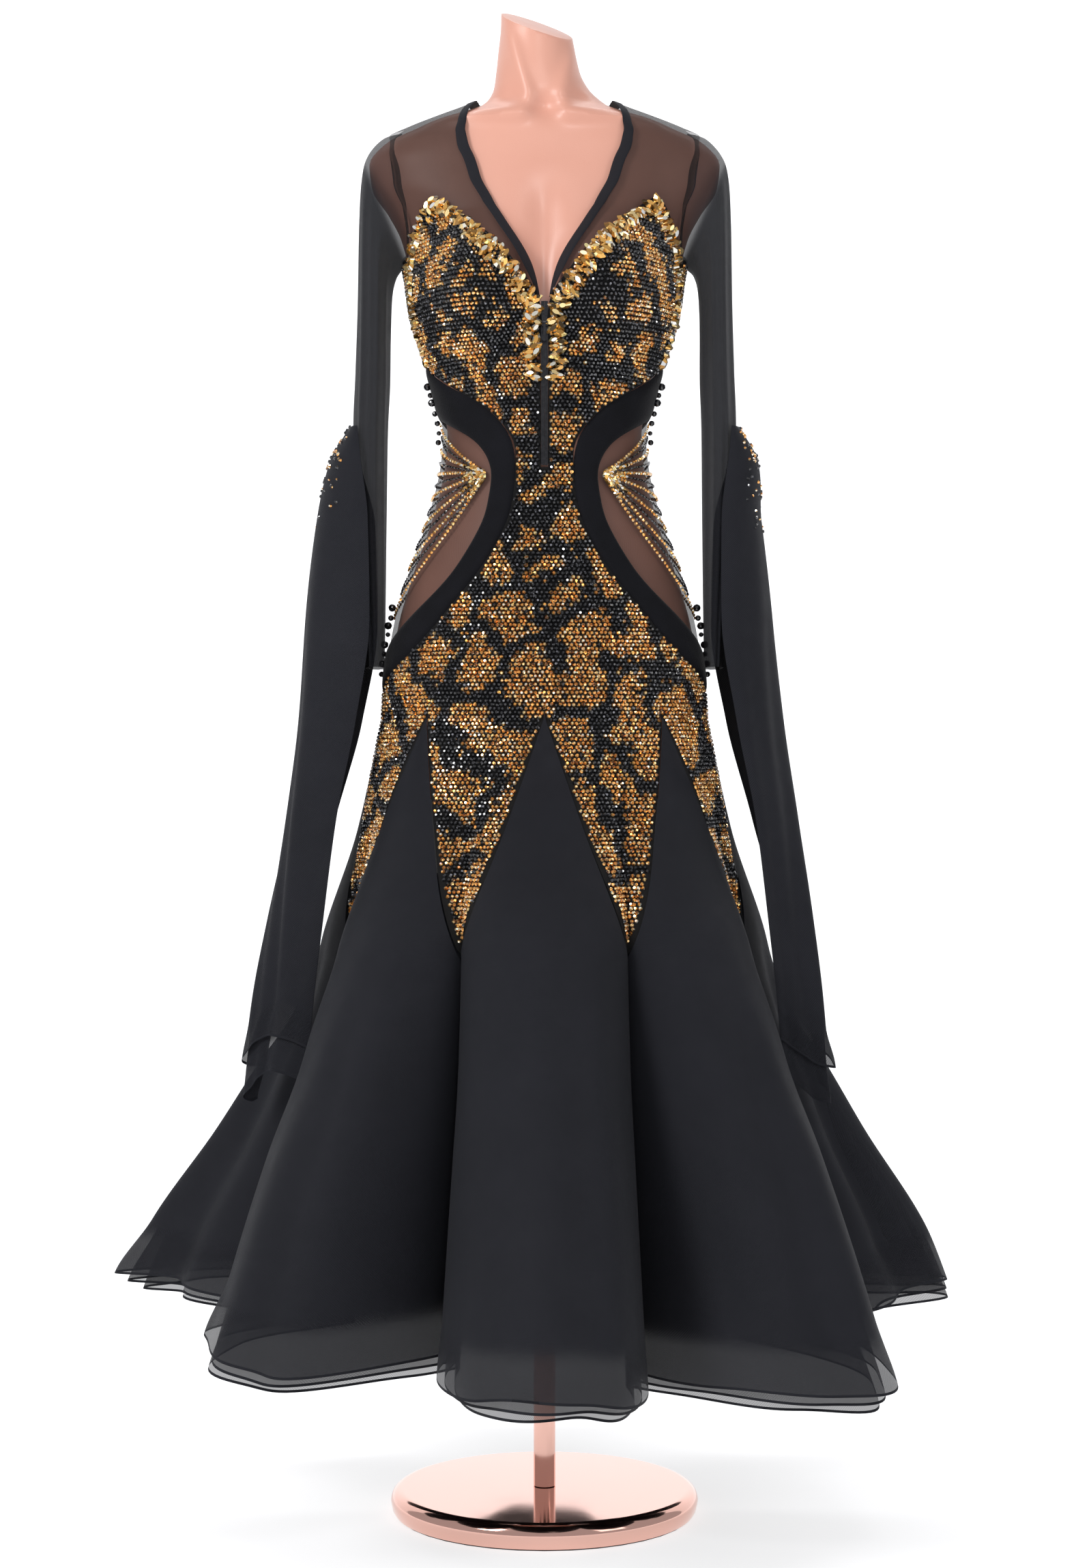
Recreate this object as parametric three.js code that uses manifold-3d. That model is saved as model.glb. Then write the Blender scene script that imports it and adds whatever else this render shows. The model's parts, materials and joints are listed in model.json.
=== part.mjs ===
// A long-sleeved ballroom dance gown on its headless display form: stoned bodice and hip gores, sheer yoke,
// sleeves and side windows, velvet bands, hanging sleeve floats and a skirt of eight chiffon godets.
// Millimetres, +Z up. The origin is the centre of the base's underside. The gown faces -Y, and the
// wearer's left is +X. Angles run round the body in degrees: 0 at the front, 90 at the wearer's left.
import * as THREE from "three";
import { mergeVertices } from "three/addons/utils/BufferGeometryUtils.js";
import Module from "manifold-3d";

const wasm = await Module();
wasm.setup();

// ---------- driving dimensions ----------
const runningGap = 0.4; // between pieces that slide or turn in each other
const restGap = 0.3; // between pieces that touch
const seamGap = 0.6; // each garment panel stays this far back from its seam line

// the stand
const baseRadius = 155;
const baseHeight = 26;
const baseEdge = 12; // rounding of the cover's rim
const coverWall = 2;
const padHeight = 3;
const padWidth = 24;
const weightHeight = 12;
const poleRadius = 11;
const poleWall = 1.5;
const poleTop = 500;
const rodRadius = 8;
const rodBottom = 250;
const collarRadius = 17;
const collarHeight = 34;
const knobRadius = 14;
const knobHeight = 16;
const stemRadius = 3;
const screwRadius = 5;
const screwHeadRadius = 9;
const screwHeadHeight = 5;

// the display form
const formBottom = 720;
const formWall = 5;
const plateThickness = 6;
const socketRadius = 20;
const socketLength = 66;
const flangeRadius = 36;
const flangeHeight = 7;
const neckCutHeight = 1492; // where the slanted neck cut crosses the neck's middle
const neckCutSide = 29; // degrees that the cut falls towards the wearer's left
const neckCutFront = 22; // degrees that the cut falls towards the front

// the gown
const clothLift = 6.4; // the gown's outer face, off the form's skin
const clothThickness = 2;
const meshThickness = 1;
const liningLift = 0.7;
const liningThickness = 2.3;
const vBottom = 1208; // lowest point of the neckline
const shoulderNeck = 1422; // neckline where it crosses the shoulder
const waistSeam = 1045; // foot of the zip, top of the middle hip gores
const hipLine = 800; // tips of the godets
const pointHeight = 573; // lower tips of the stoned gores
const hemHeight = 190;
const godets = 8;
const valleyRadius = 206; // the skirt at its seams, from the points down
const underGap = 2.6; // between the faces of the skirt's two layers
const underDrop = 14; // the under layer hangs this far below the outer one
const stayBottom = 1047;
const stayHeight = 18;
const zipWidth = 9;
const zipLength = 160;
const bindingWidth = 9;
const shoulderX = 166.5; // pivot of a hanging sleeve
const shoulderZ = 1345;
const sleeveReach = 58; // from that pivot to the top of the hanging sleeve
const cuffHeight = 850;
const floatTop = 1092;
const floatBottom = 458;

const rad = THREE.MathUtils.degToRad;

// ---------- materials ----------
const finish = (color, roughness, metalness = 0) => new THREE.MeshStandardMaterial({ color, roughness, metalness });
const roseMetal = finish(0xd9a398, 0.12, 1);
const steel = finish(0x9a9ca0, 0.35, 1);
const rubber = finish(0x1d1d1f, 0.8);
const skin = finish(0xe2b3a2, 0.45);
const chiffon = finish(0x1c1d21, 0.75);
const crinChiffon = finish(0x202126, 0.7);
const velvet = finish(0x0d0e11, 0.9);
const sheerMesh = finish(0x4a352e, 0.7);
const stoned = finish(0x8a6126, 0.3, 0.4);
const lining = finish(0x2a2a2e, 0.8);
const zipMetal = finish(0x2b2c30, 0.3, 0.8);

const gown = new THREE.Group();

function add(name, geometry, material, group = gown) {
  const mesh = new THREE.Mesh(geometry, material);
  mesh.name = name;
  group.add(mesh);
  return mesh;
}

// ---------- smooth tables ----------
// Rows of [height, values...] from the top down, read at any height with a curve that never overshoots.
function table(rows) {
  const z = rows.map((row) => row[0]);
  const slopes = rows[0].slice(1).map((_, k) => {
    const steps = z.slice(1).map((zi, i) => (rows[i + 1][k + 1] - rows[i][k + 1]) / (zi - z[i]));
    return z.map((_, i) => {
      if (i === 0 || i === z.length - 1) return steps[Math.min(i, steps.length - 1)];
      return steps[i - 1] * steps[i] <= 0 ? 0 : (2 * steps[i - 1] * steps[i]) / (steps[i - 1] + steps[i]);
    });
  });
  return (height) => {
    let i = 0;
    while (i < z.length - 2 && height < z[i + 1]) i++;
    const span = z[i + 1] - z[i];
    const s = THREE.MathUtils.clamp((height - z[i]) / span, 0, 1);
    const near = (1 + 2 * s) * (1 - s) ** 2;
    const nearSlope = s * (1 - s) ** 2 * span;
    const far = s * s * (3 - 2 * s);
    const farSlope = s * s * (s - 1) * span;
    return slopes.map(
      (m, k) => near * rows[i][k + 1] + nearSlope * m[i] + far * rows[i + 1][k + 1] + farSlope * m[i + 1],
    );
  };
}

// The form's sections: height, half width, depth in front of and behind the pole's axis, sideways lean.
const formSection = table([
  [1560, 40, 44, 36, -11],
  [1500, 40, 44, 36, -11],
  [1475, 40, 45, 38, -9],
  [1452, 43, 47, 42, -7],
  [1430, 54, 49, 50, -3],
  [1412, 78, 51, 58, 0],
  [1400, 113, 54, 63, 0],
  [1390, 141, 56, 67, 0],
  [1380, 158, 58, 70, 0],
  [1360, 171, 62, 76, 0],
  [1335, 164, 68, 84, 0],
  [1310, 150, 74, 90, 0],
  [1285, 142, 80, 93, 0],
  [1250, 136, 86, 93, 0],
  [1207, 129.5, 89, 89, 0],
  [1166, 117, 87.5, 83, 0],
  [1124, 105, 86, 76, 0],
  [1086, 98, 84.5, 71, 0],
  [1059, 100, 84, 70, 0],
  [1003, 113, 88, 76, 0],
  [948, 132, 94, 90, 0],
  [893, 148, 98, 106, 0],
  [838, 156, 98, 115, 0],
  [790, 158, 94, 112, 0],
  [720, 152, 86, 98, 0],
]);

// The bust: two mounds on the chest, each a smooth bump with a sharp end.
const bust = { x: 70, z: 1234, reachX: 69, reachZ: 74, height: 36 };

function formPoint(angle, z) {
  const [width, front, back, lean] = formSection(z);
  const s = Math.sin(rad(angle));
  const c = Math.cos(rad(angle));
  const x = width * s;
  let y = c > 0 ? -front * c : -back * c;
  if (c > 0) {
    const d = ((Math.abs(x) - bust.x) / bust.reachX) ** 2 + ((z - bust.z) / bust.reachZ) ** 2;
    if (d < 1) y -= bust.height * (1 - d) ** 2;
  }
  return new THREE.Vector3(x + lean, y, z);
}

// The skirt's outer face below the hip line: seams in the valleys, a rounded godet between each two.
const [hipWidth, hipFront, hipBack] = formSection(hipLine);
const skirtSection = table([
  [hipLine, hipWidth + clothLift, hipFront + clothLift, hipBack + clothLift],
  [690, 184, 144, 150],
  [pointHeight, valleyRadius, 0.94 * valleyRadius, 0.94 * valleyRadius],
  [150, valleyRadius, 0.94 * valleyRadius, 0.94 * valleyRadius],
]);
// How far a godet's ridge stands out past the valleys, at the front and at the sides.
const flare = table([
  [hipLine, 0, 0],
  [700, 11, 4],
  [577, 46, 18],
  [500, 84, 44],
  [459, 103, 70],
  [386, 146, 112],
  [284, 196, 178],
  [200, 230, 212],
  [150, 246, 226],
]);
// The under layer keeps the same seams, with ridges a little lower and narrower.
const ridgeShare = (angle, under) =>
  (1 - 0.045 * under) * Math.abs(Math.cos((godets / 2) * rad(angle))) ** (0.7 + 1.1 * under);

function skirtPoint(angle, z, under = 0) {
  const [width, front, back] = skirtSection(z).map((r) => r - underGap * under);
  const [full, side] = flare(z);
  const s = Math.sin(rad(angle));
  const c = Math.cos(rad(angle));
  const sideShare = Math.abs(s) > 0.92 ? 1 : 0;
  const out = ridgeShare(angle, under) * (full + (side - full) * sideShare);
  return new THREE.Vector3(width * s + out * s, -(c > 0 ? front : back) * c - out * c, z);
}

// A point's outward direction on a surface given by angle and height.
function outward(surface, angle, z) {
  const across = surface(angle + 0.2, z).sub(surface(angle - 0.2, z));
  const up = surface(angle, z + 0.5).sub(surface(angle, z - 0.5));
  return across.cross(up).normalize();
}

const onForm = (angle, z, lift) => formPoint(angle, z).addScaledVector(outward(formPoint, angle, z), lift);
const gownFace = (angle, z) => (z >= hipLine ? onForm(angle, z, clothLift) : skirtPoint(angle, z));
// A point at a depth under the gown's outer face.
const onGown = (angle, z, depth) => gownFace(angle, z).addScaledVector(outward(gownFace, angle, z), -depth);

// ---------- shaped primitives ----------
function bare(geometry) {
  geometry.deleteAttribute("normal");
  geometry.deleteAttribute("uv");
  geometry.clearGroups();
  const merged = mergeVertices(geometry, 1e-3);
  const index = [];
  for (let i = 0; i < merged.index.count; i += 3) {
    const [a, b, c] = [0, 1, 2].map((k) => merged.index.getX(i + k));
    if (a !== b && b !== c && c !== a) index.push(a, b, c);
  }
  merged.setIndex(index);
  return merged;
}

function volumeOf(geometry) {
  const p = geometry.getAttribute("position");
  const corner = [0, 1, 2].map(() => new THREE.Vector3());
  let sum = 0;
  for (let i = 0; i < geometry.index.count; i += 3) {
    corner.forEach((v, k) => v.fromBufferAttribute(p, geometry.index.getX(i + k)));
    sum += corner[0].dot(corner[1].clone().cross(corner[2])) / 6;
  }
  return sum;
}

// Moves each vertex of a primitive to where place(x, y, z) says, and keeps the faces pointing out.
function shaped(primitive, place) {
  const p = primitive.getAttribute("position");
  for (let i = 0; i < p.count; i++) {
    const v = place(p.getX(i), p.getY(i), p.getZ(i)).multiplyScalar(1000).round().divideScalar(1000);
    p.setXYZ(i, v.x, v.y, v.z);
  }
  const geometry = bare(primitive);
  if (volumeOf(geometry) < 0) {
    const index = geometry.index;
    for (let i = 0; i < index.count; i += 3) {
      const first = index.getX(i);
      index.setX(i, index.getX(i + 1));
      index.setX(i + 1, first);
    }
  }
  return geometry;
}

// A slab whose two faces are split along the same diagonals, so a twisted cell stays as thick as the others.
function slab(columns, rows) {
  const geometry = new THREE.BoxGeometry(1, 1, 1, columns, rows, 1);
  const indices = geometry.index.array;
  const { start, count } = geometry.groups[5];
  for (let i = start; i < start + count; i += 6) {
    const [a, b, d, , c] = indices.slice(i, i + 6);
    indices.set([a, b, c, a, c, d], i);
  }
  return geometry;
}

// A panel of cloth on a surface, between two seam curves that give [angle, height] for v from 0 to 1.
function panel(left, right, options) {
  const { rows, columns, top = 0, bottom = clothThickness, on = onGown, gap = seamGap, endGap = seamGap } = options;
  const lengthOf = (curve) => {
    const [a, b] = [curve(0), curve(1)];
    return on(...a, top).distanceTo(on(...b, top));
  };
  const inset = endGap / Math.max(lengthOf(left), lengthOf(right));
  return shaped(slab(columns, rows), (x, y, z) => {
    const v = THREE.MathUtils.lerp(inset, 1 - inset, y + 0.5);
    const [a, b] = [left(v), right(v)];
    const width = on(...a, top).distanceTo(on(...b, top));
    const share = Math.min(0.4, gap / Math.max(width, 0.01));
    const u = THREE.MathUtils.lerp(share, 1 - share, x + 0.5);
    const angle = THREE.MathUtils.lerp(a[0], b[0], u);
    const height = THREE.MathUtils.lerp(a[1], b[1], u);
    return on(angle, height, z > 0 ? top : bottom);
  });
}

// A seam as a smooth curve through [angle, height] points.
function seam(points) {
  const curve = new THREE.SplineCurve(points.map(([angle, z]) => new THREE.Vector2(angle, z)));
  return (v) => curve.getPoint(v).toArray();
}
const mirrored = (curve) => (v) => {
  const [angle, z] = curve(v);
  return [-angle, z];
};
const behind = (curve) => (v) => {
  const [angle, z] = curve(v);
  return [180 - angle, z];
};

// A closed solid of horizontal sections, with flat ends: place(angle, height) is its surface.
function loft(place, heights, segments) {
  const rings = heights.length - 1;
  return shaped(new THREE.CylinderGeometry(1, 1, 1, segments, rings), (x, y, z) => {
    const height = heights[Math.round((y + 0.5) * rings)];
    const edge = place(THREE.MathUtils.radToDeg(Math.atan2(x, z)), height);
    const middle = place(0, height).add(place(180, height)).multiplyScalar(0.5);
    return middle.lerp(edge, Math.hypot(x, z));
  });
}

function lathe(profile, segments = 24) {
  const points = profile.map(([r, z]) => new THREE.Vector2(r, z));
  return shaped(new THREE.LatheGeometry(points, segments), (x, y, z) => new THREE.Vector3(x, -z, y));
}
const ring = (inner, outer, low, high, segments = 24) =>
  lathe([[inner, low], [outer, low], [outer, high], [inner, high], [inner, low]], segments);
const rod = (radius, low, high, segments = 24) => lathe([[0, low], [radius, low], [radius, high], [0, high]], segments);

function solid(geometry) {
  const merged = bare(geometry);
  return new wasm.Manifold(
    new wasm.Mesh({
      numProp: 3,
      vertProperties: new Float32Array(merged.getAttribute("position").array),
      triVerts: new Uint32Array(merged.index.array),
    }),
  );
}
function geometryOf(manifold) {
  const { vertProperties, triVerts } = manifold.getMesh();
  const geometry = new THREE.BufferGeometry();
  geometry.setAttribute("position", new THREE.BufferAttribute(vertProperties, 3));
  geometry.setIndex(new THREE.BufferAttribute(triVerts, 1));
  return geometry;
}
const without = (geometry, ...cuts) =>
  geometryOf(cuts.reduce((left, cut) => left.subtract(solid(cut)), solid(geometry)));

// ---------- the stand ----------
function stand() {
  const rim = [];
  for (let i = 0; i <= 4; i++) {
    const a = rad(90 - 22.5 * i);
    rim.push([baseRadius - baseEdge + baseEdge * Math.cos(a), baseHeight - baseEdge + baseEdge * Math.sin(a)]);
  }
  const underEdge = baseRadius - 4;
  const poleHole = screwRadius + runningGap;
  add(
    "base_cover",
    lathe(
      [
        [poleHole, baseHeight],
        ...rim,
        [underEdge, restGap + padHeight * 0.5],
        [underEdge - coverWall, restGap + padHeight * 0.5],
        [baseRadius - coverWall, baseHeight - baseEdge],
        [baseRadius - baseEdge, baseHeight - coverWall],
        [poleHole, baseHeight - coverWall],
        [poleHole, baseHeight],
      ],
      36,
    ),
    roseMetal,
  );
  const weightTop = baseHeight - coverWall - restGap;
  const weightBottom = weightTop - weightHeight;
  const weightRadius = baseRadius - baseEdge - 1;
  const headRoom = screwHeadRadius + 1;
  add("base_weight", ring(poleHole, weightRadius, weightBottom, weightTop, 36), steel);
  const padOuter = underEdge - coverWall - runningGap;
  const padTop = weightBottom - restGap;
  add("base_pad", ring(padOuter - padWidth, padOuter, 0, padTop, 36), rubber);
  const plugTop = baseHeight + 44;
  const screwHead = weightBottom - restGap;
  add(
    "base_screw",
    lathe([
      [0, screwHead - screwHeadHeight],
      [headRoom - 1, screwHead - screwHeadHeight],
      [headRoom - 1, screwHead],
      [screwRadius, screwHead],
      [screwRadius, plugTop - 4],
      [0, plugTop - 4],
    ]),
    steel,
  );
  const bore = poleRadius - poleWall;
  add(
    "pole_tube",
    lathe([
      [screwRadius + restGap, baseHeight + restGap],
      [poleRadius, baseHeight + restGap],
      [poleRadius, poleTop],
      [bore, poleTop],
      [bore, plugTop],
      [screwRadius + restGap, plugTop],
      [screwRadius + restGap, baseHeight + restGap],
    ]),
    roseMetal,
  );
  // The clamp collar caps the tube and guides the rod. Its knob sits behind, on a short stem.
  const collarTop = poleTop + 12;
  const collarBottom = collarTop - collarHeight;
  const knobZ = poleTop - 8;
  const stemHole = new THREE.CylinderGeometry(stemRadius + runningGap, stemRadius + runningGap, collarRadius, 20);
  stemHole.translate(0, poleRadius + collarRadius / 2, knobZ);
  add(
    "height_collar",
    without(
      lathe([
        [poleRadius + restGap, collarBottom],
        [collarRadius, collarBottom],
        [collarRadius, collarTop],
        [rodRadius + runningGap, collarTop],
        [rodRadius + runningGap, poleTop + restGap],
        [poleRadius + restGap, poleTop + restGap],
        [poleRadius + restGap, collarBottom],
      ]),
      stemHole,
    ),
    steel,
  );
  const knob = clampKnob("height_knob", poleRadius + 2 * restGap, collarRadius);
  knob.position.set(0, 0, knobZ);
  const rodTop = formBottom - flangeHeight - restGap - runningGap;
  add("pole_rod", rod(rodRadius, rodBottom, rodTop), steel);
}

// A star knob on a stem that points to the axis: its stem starts at inner, its head clears the collar.
function clampKnob(name, inner, collar) {
  const lobes = 6;
  const outline = new THREE.Shape();
  const points = 36;
  for (let i = 0; i <= points; i++) {
    const a = (2 * Math.PI * i) / points;
    const r = knobRadius - 1.6 + 1.6 * Math.cos(lobes * a);
    if (i === 0) outline.moveTo(r, 0);
    else outline.lineTo(r * Math.cos(a), r * Math.sin(a));
  }
  const head = new THREE.ExtrudeGeometry(outline, { depth: knobHeight, bevelEnabled: false });
  head.translate(0, 0, collar + 1);
  const stem = new THREE.CylinderGeometry(stemRadius, stemRadius, collar + 3 - inner, 20);
  stem.rotateX(Math.PI / 2);
  stem.translate(0, 0, (inner + collar + 3) / 2);
  const geometry = geometryOf(solid(bare(head)).add(solid(bare(stem))));
  geometry.rotateX(-Math.PI / 2);
  return add(name, geometry, rubber);
}

// ---------- the display form ----------
const formRings = [
  ...[780, 838, 893, 948, 1003, 1045, 1066, 1086, 1124, 1160, 1190, 1215, 1240, 1265, 1290, 1315],
  ...[1340, 1360, 1375, 1385, 1395, 1405, 1415, 1425, 1440, 1460, 1480, 1510],
];
const hollowRings = [formBottom - 20, 780, 838, 893, 948, 1003, 1086, 1160, 1240, 1300, 1345];
function displayForm() {
  const outer = loft(formPoint, [formBottom, ...formRings, 1555], 36);
  const insideFace = (angle, z) => {
    const p = formPoint(angle, z);
    return p.addScaledVector(new THREE.Vector3(p.x, p.y, 0).normalize(), -formWall);
  };
  const hollow = loft(insideFace, hollowRings, 20);
  const plateLow = formBottom + 1;
  const cut = new THREE.BoxGeometry(400, 400, 200);
  cut.translate(0, 0, 100);
  cut.applyMatrix4(
    new THREE.Matrix4().makeRotationFromEuler(new THREE.Euler(rad(neckCutFront), rad(neckCutSide), 0, "YXZ")),
  );
  cut.translate(-8, 0, neckCutHeight);
  add("torso", without(outer, hollow, cut), skin);
  const plateFace = (angle) => {
    const p = insideFace(angle, formBottom);
    return p.addScaledVector(new THREE.Vector3(p.x, p.y, 0).normalize(), -0.8);
  };
  const plate = loft(
    (angle, z) => plateFace(angle).setZ(z),
    [plateLow, plateLow + plateThickness],
    32,
  );
  add("torso_base_plate", plate, steel);
  const flangeTop = plateLow - restGap;
  const bottom = flangeTop - flangeHeight - socketLength;
  const boreTop = formBottom - flangeHeight;
  const knobZ = bottom + socketLength / 2;
  const stemHole = new THREE.CylinderGeometry(stemRadius + runningGap, stemRadius + runningGap, socketRadius, 20);
  stemHole.translate(0, rodRadius + socketRadius / 2, knobZ);
  add(
    "torso_socket",
    without(
      lathe([
        [rodRadius + runningGap, bottom],
        [socketRadius, bottom],
        [socketRadius, flangeTop - flangeHeight],
        [flangeRadius, flangeTop - flangeHeight],
        [flangeRadius, flangeTop],
        [0, flangeTop],
        [0, boreTop],
        [rodRadius + runningGap, boreTop],
        [rodRadius + runningGap, bottom],
      ]),
      stemHole,
    ),
    steel,
  );
  clampKnob("swivel_knob", rodRadius + 2 * restGap, socketRadius).position.set(0, 0, knobZ);
}

// ---------- the gown's seams ----------
const zipAngle = (z) => THREE.MathUtils.radToDeg(Math.asin(zipWidth / 2 / (formSection(z)[0] + clothLift)));
// The velvet band runs round the side window: its inner edge borders the stones, its outer edge the window.
const bandInner = seam([
  [88, 1146],
  [66, 1126],
  [42, 1096],
  [25, 1062],
  [17, 1030],
  [24, 985],
  [38, 930],
  [58, 874],
  [88, 826],
]);
const bandOuter = seam([
  [88, 1096],
  [68, 1088],
  [50, 1072],
  [38, 1050],
  [34, 1026],
  [41, 984],
  [54, 936],
  [70, 892],
  [88, 862],
]);
const bandSplit = 0.455; // where the band's inner edge meets the waist seam
// The bodice's inner edge: up the zip, then along the top of the cup to its point.
const cupInner = seam([
  [zipAngle(waistSeam), waistSeam],
  [zipAngle(1100), 1100],
  [zipAngle(1155), 1155],
  [zipAngle(vBottom), vBottom - 2],
  [12, 1238],
  [20, 1262],
  [28, 1282],
  [34, 1300],
  [41, 1316],
]);
// Its outer edge: along the band, then up the side to the same point.
const cupOuter = seam([
  [bandInner(bandSplit)[0] - 0.3, waistSeam],
  [29, 1073],
  [46, 1103],
  [68, 1131],
  [74, 1165],
  [74, 1205],
  [72, 1245],
  [62, 1282],
  [45, 1315],
]);
const neckLine = seam([
  [zipAngle(vBottom), vBottom + 3],
  [6.6, 1244],
  [13, 1285],
  [17.7, 1325],
  [21.5, 1362],
  [33, 1392],
  [60, 1412],
  [90, shoulderNeck],
]);
const neckBack = seam([
  [90, shoulderNeck],
  [120, shoulderNeck],
  [150, shoulderNeck],
  [180, shoulderNeck],
]);
const armhole = seam([
  [74, 1262],
  [68, 1280],
  [66, 1305],
  [62, 1330],
  [62, 1355],
  [68, 1376],
  [90, 1391],
]);

function neckCurve(edge) {
  // from the front point of the neckline over the shoulder to the middle of the back
  return (v) => {
    const [angle, z] = v < 0.62 ? neckLine(v / 0.62) : neckBack((v - 0.62) / 0.38);
    const share = 0.3 + 0.7 * THREE.MathUtils.smoothstep(v, 0, 0.12);
    const round = THREE.MathUtils.smoothstep(v, 0.36, 0.6);
    const outAngle = (1 - round) * 4.2 * share;
    return [angle + edge * outAngle, z - edge * THREE.MathUtils.lerp(1.5 * share, bindingWidth * 0.45, round)];
  };
}

// ---------- the gown's upper part ----------
function upperPart() {
  const sheer = { top: clothThickness - meshThickness, bottom: clothThickness };
  for (const [side, turn] of [
    ["left", (curve) => curve],
    ["right", mirrored],
  ]) {
    add("bodice_" + side, panel(turn(cupInner), turn(cupOuter), { rows: 16, columns: 6 }), stoned);
    add("velvet_band_front_" + side, panel(turn(bandInner), turn(bandOuter), { rows: 18, columns: 1 }), velvet);
    add(
      "velvet_band_back_" + side,
      panel(turn(behind(bandInner)), turn(behind(bandOuter)), { rows: 18, columns: 1 }),
      velvet,
    );
    add(
      "side_window_" + side,
      panel(turn(bandOuter), turn(behind(bandOuter)), { rows: 14, columns: 10, ...sheer }),
      sheerMesh,
    );
    const edgeOut = neckCurve(1);
    add(
      "neck_binding_" + side,
      panel(turn(neckCurve(0)), turn(edgeOut), { rows: 24, columns: 1 }),
      chiffon,
    );
    // the yoke between the binding, the cup's top edge, the armhole and the shoulder
    const yokeInner = (v) => edgeOut(0.62 * (v < 0.42 ? (v / 0.42) * 0.6 : 0.6 + ((v - 0.42) / 0.58) * 0.4));
    const yokeOuter = (v) => {
      if (v < 0.42) return cupInner(THREE.MathUtils.lerp(0.375, 1, v / 0.42));
      if (v < 0.6) return cupOuter(THREE.MathUtils.lerp(1, 0.8, (v - 0.42) / 0.18));
      return armhole((v - 0.6) / 0.4);
    };
    const lift = (curve, by) => (v) => {
      const [angle, z] = curve(v);
      return [angle, z + by * (1 - THREE.MathUtils.smoothstep(v, 0.55, 0.8))];
    };
    add(
      "yoke_front_" + side,
      panel(turn(yokeInner), turn(lift(yokeOuter, 7)), { rows: 17, columns: 4, ...sheer }),
      sheerMesh,
    );
  }
  const backTop = 1262;
  // the back of the bodice, from one cup round to the other
  const backEdge = seam([
    [180 - 17.5, waistSeam],
    [180 - 29, 1073],
    [180 - 46, 1103],
    [180 - 66, 1130],
    [90, 1149],
    [78, 1158],
    [76, 1180],
    [76, 1210],
    [75, 1240],
    [76, backTop],
  ]);
  add(
    "back_bodice",
    panel(backEdge, (v) => [360 - backEdge(v)[0], backEdge(v)[1]], { rows: 12, columns: 12 }),
    stoned,
  );
  const yokeEdge = seam([
    [90, backTop + 2],
    [108, 1282],
    [116, 1305],
    [122, 1330],
    [122, 1355],
    [112, 1376],
    [90, 1391],
  ]);
  const backYoke = (v) => {
    if (v < 0.7) return yokeEdge(v / 0.7);
    return [90, THREE.MathUtils.lerp(1391, shoulderNeck - bindingWidth * 0.5 - 1, (v - 0.7) / 0.3)];
  };
  add(
    "yoke_back",
    panel(backYoke, (v) => [360 - backYoke(v)[0], backYoke(v)[1]], {
      rows: 9,
      columns: 16,
      top: clothThickness - meshThickness,
    }),
    sheerMesh,
  );
}

// ---------- the hip gores, godets and under layer ----------
const pitch = 360 / godets;
const apexHalf = 0.7; // degrees, so that a godet's tip keeps a little width
const godetHalf = (z) => {
  const down = THREE.MathUtils.clamp((hipLine - z) / (hipLine - pointHeight), 0, 1);
  return Math.max(apexHalf, (pitch / 2) * down ** 0.92);
};

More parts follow.
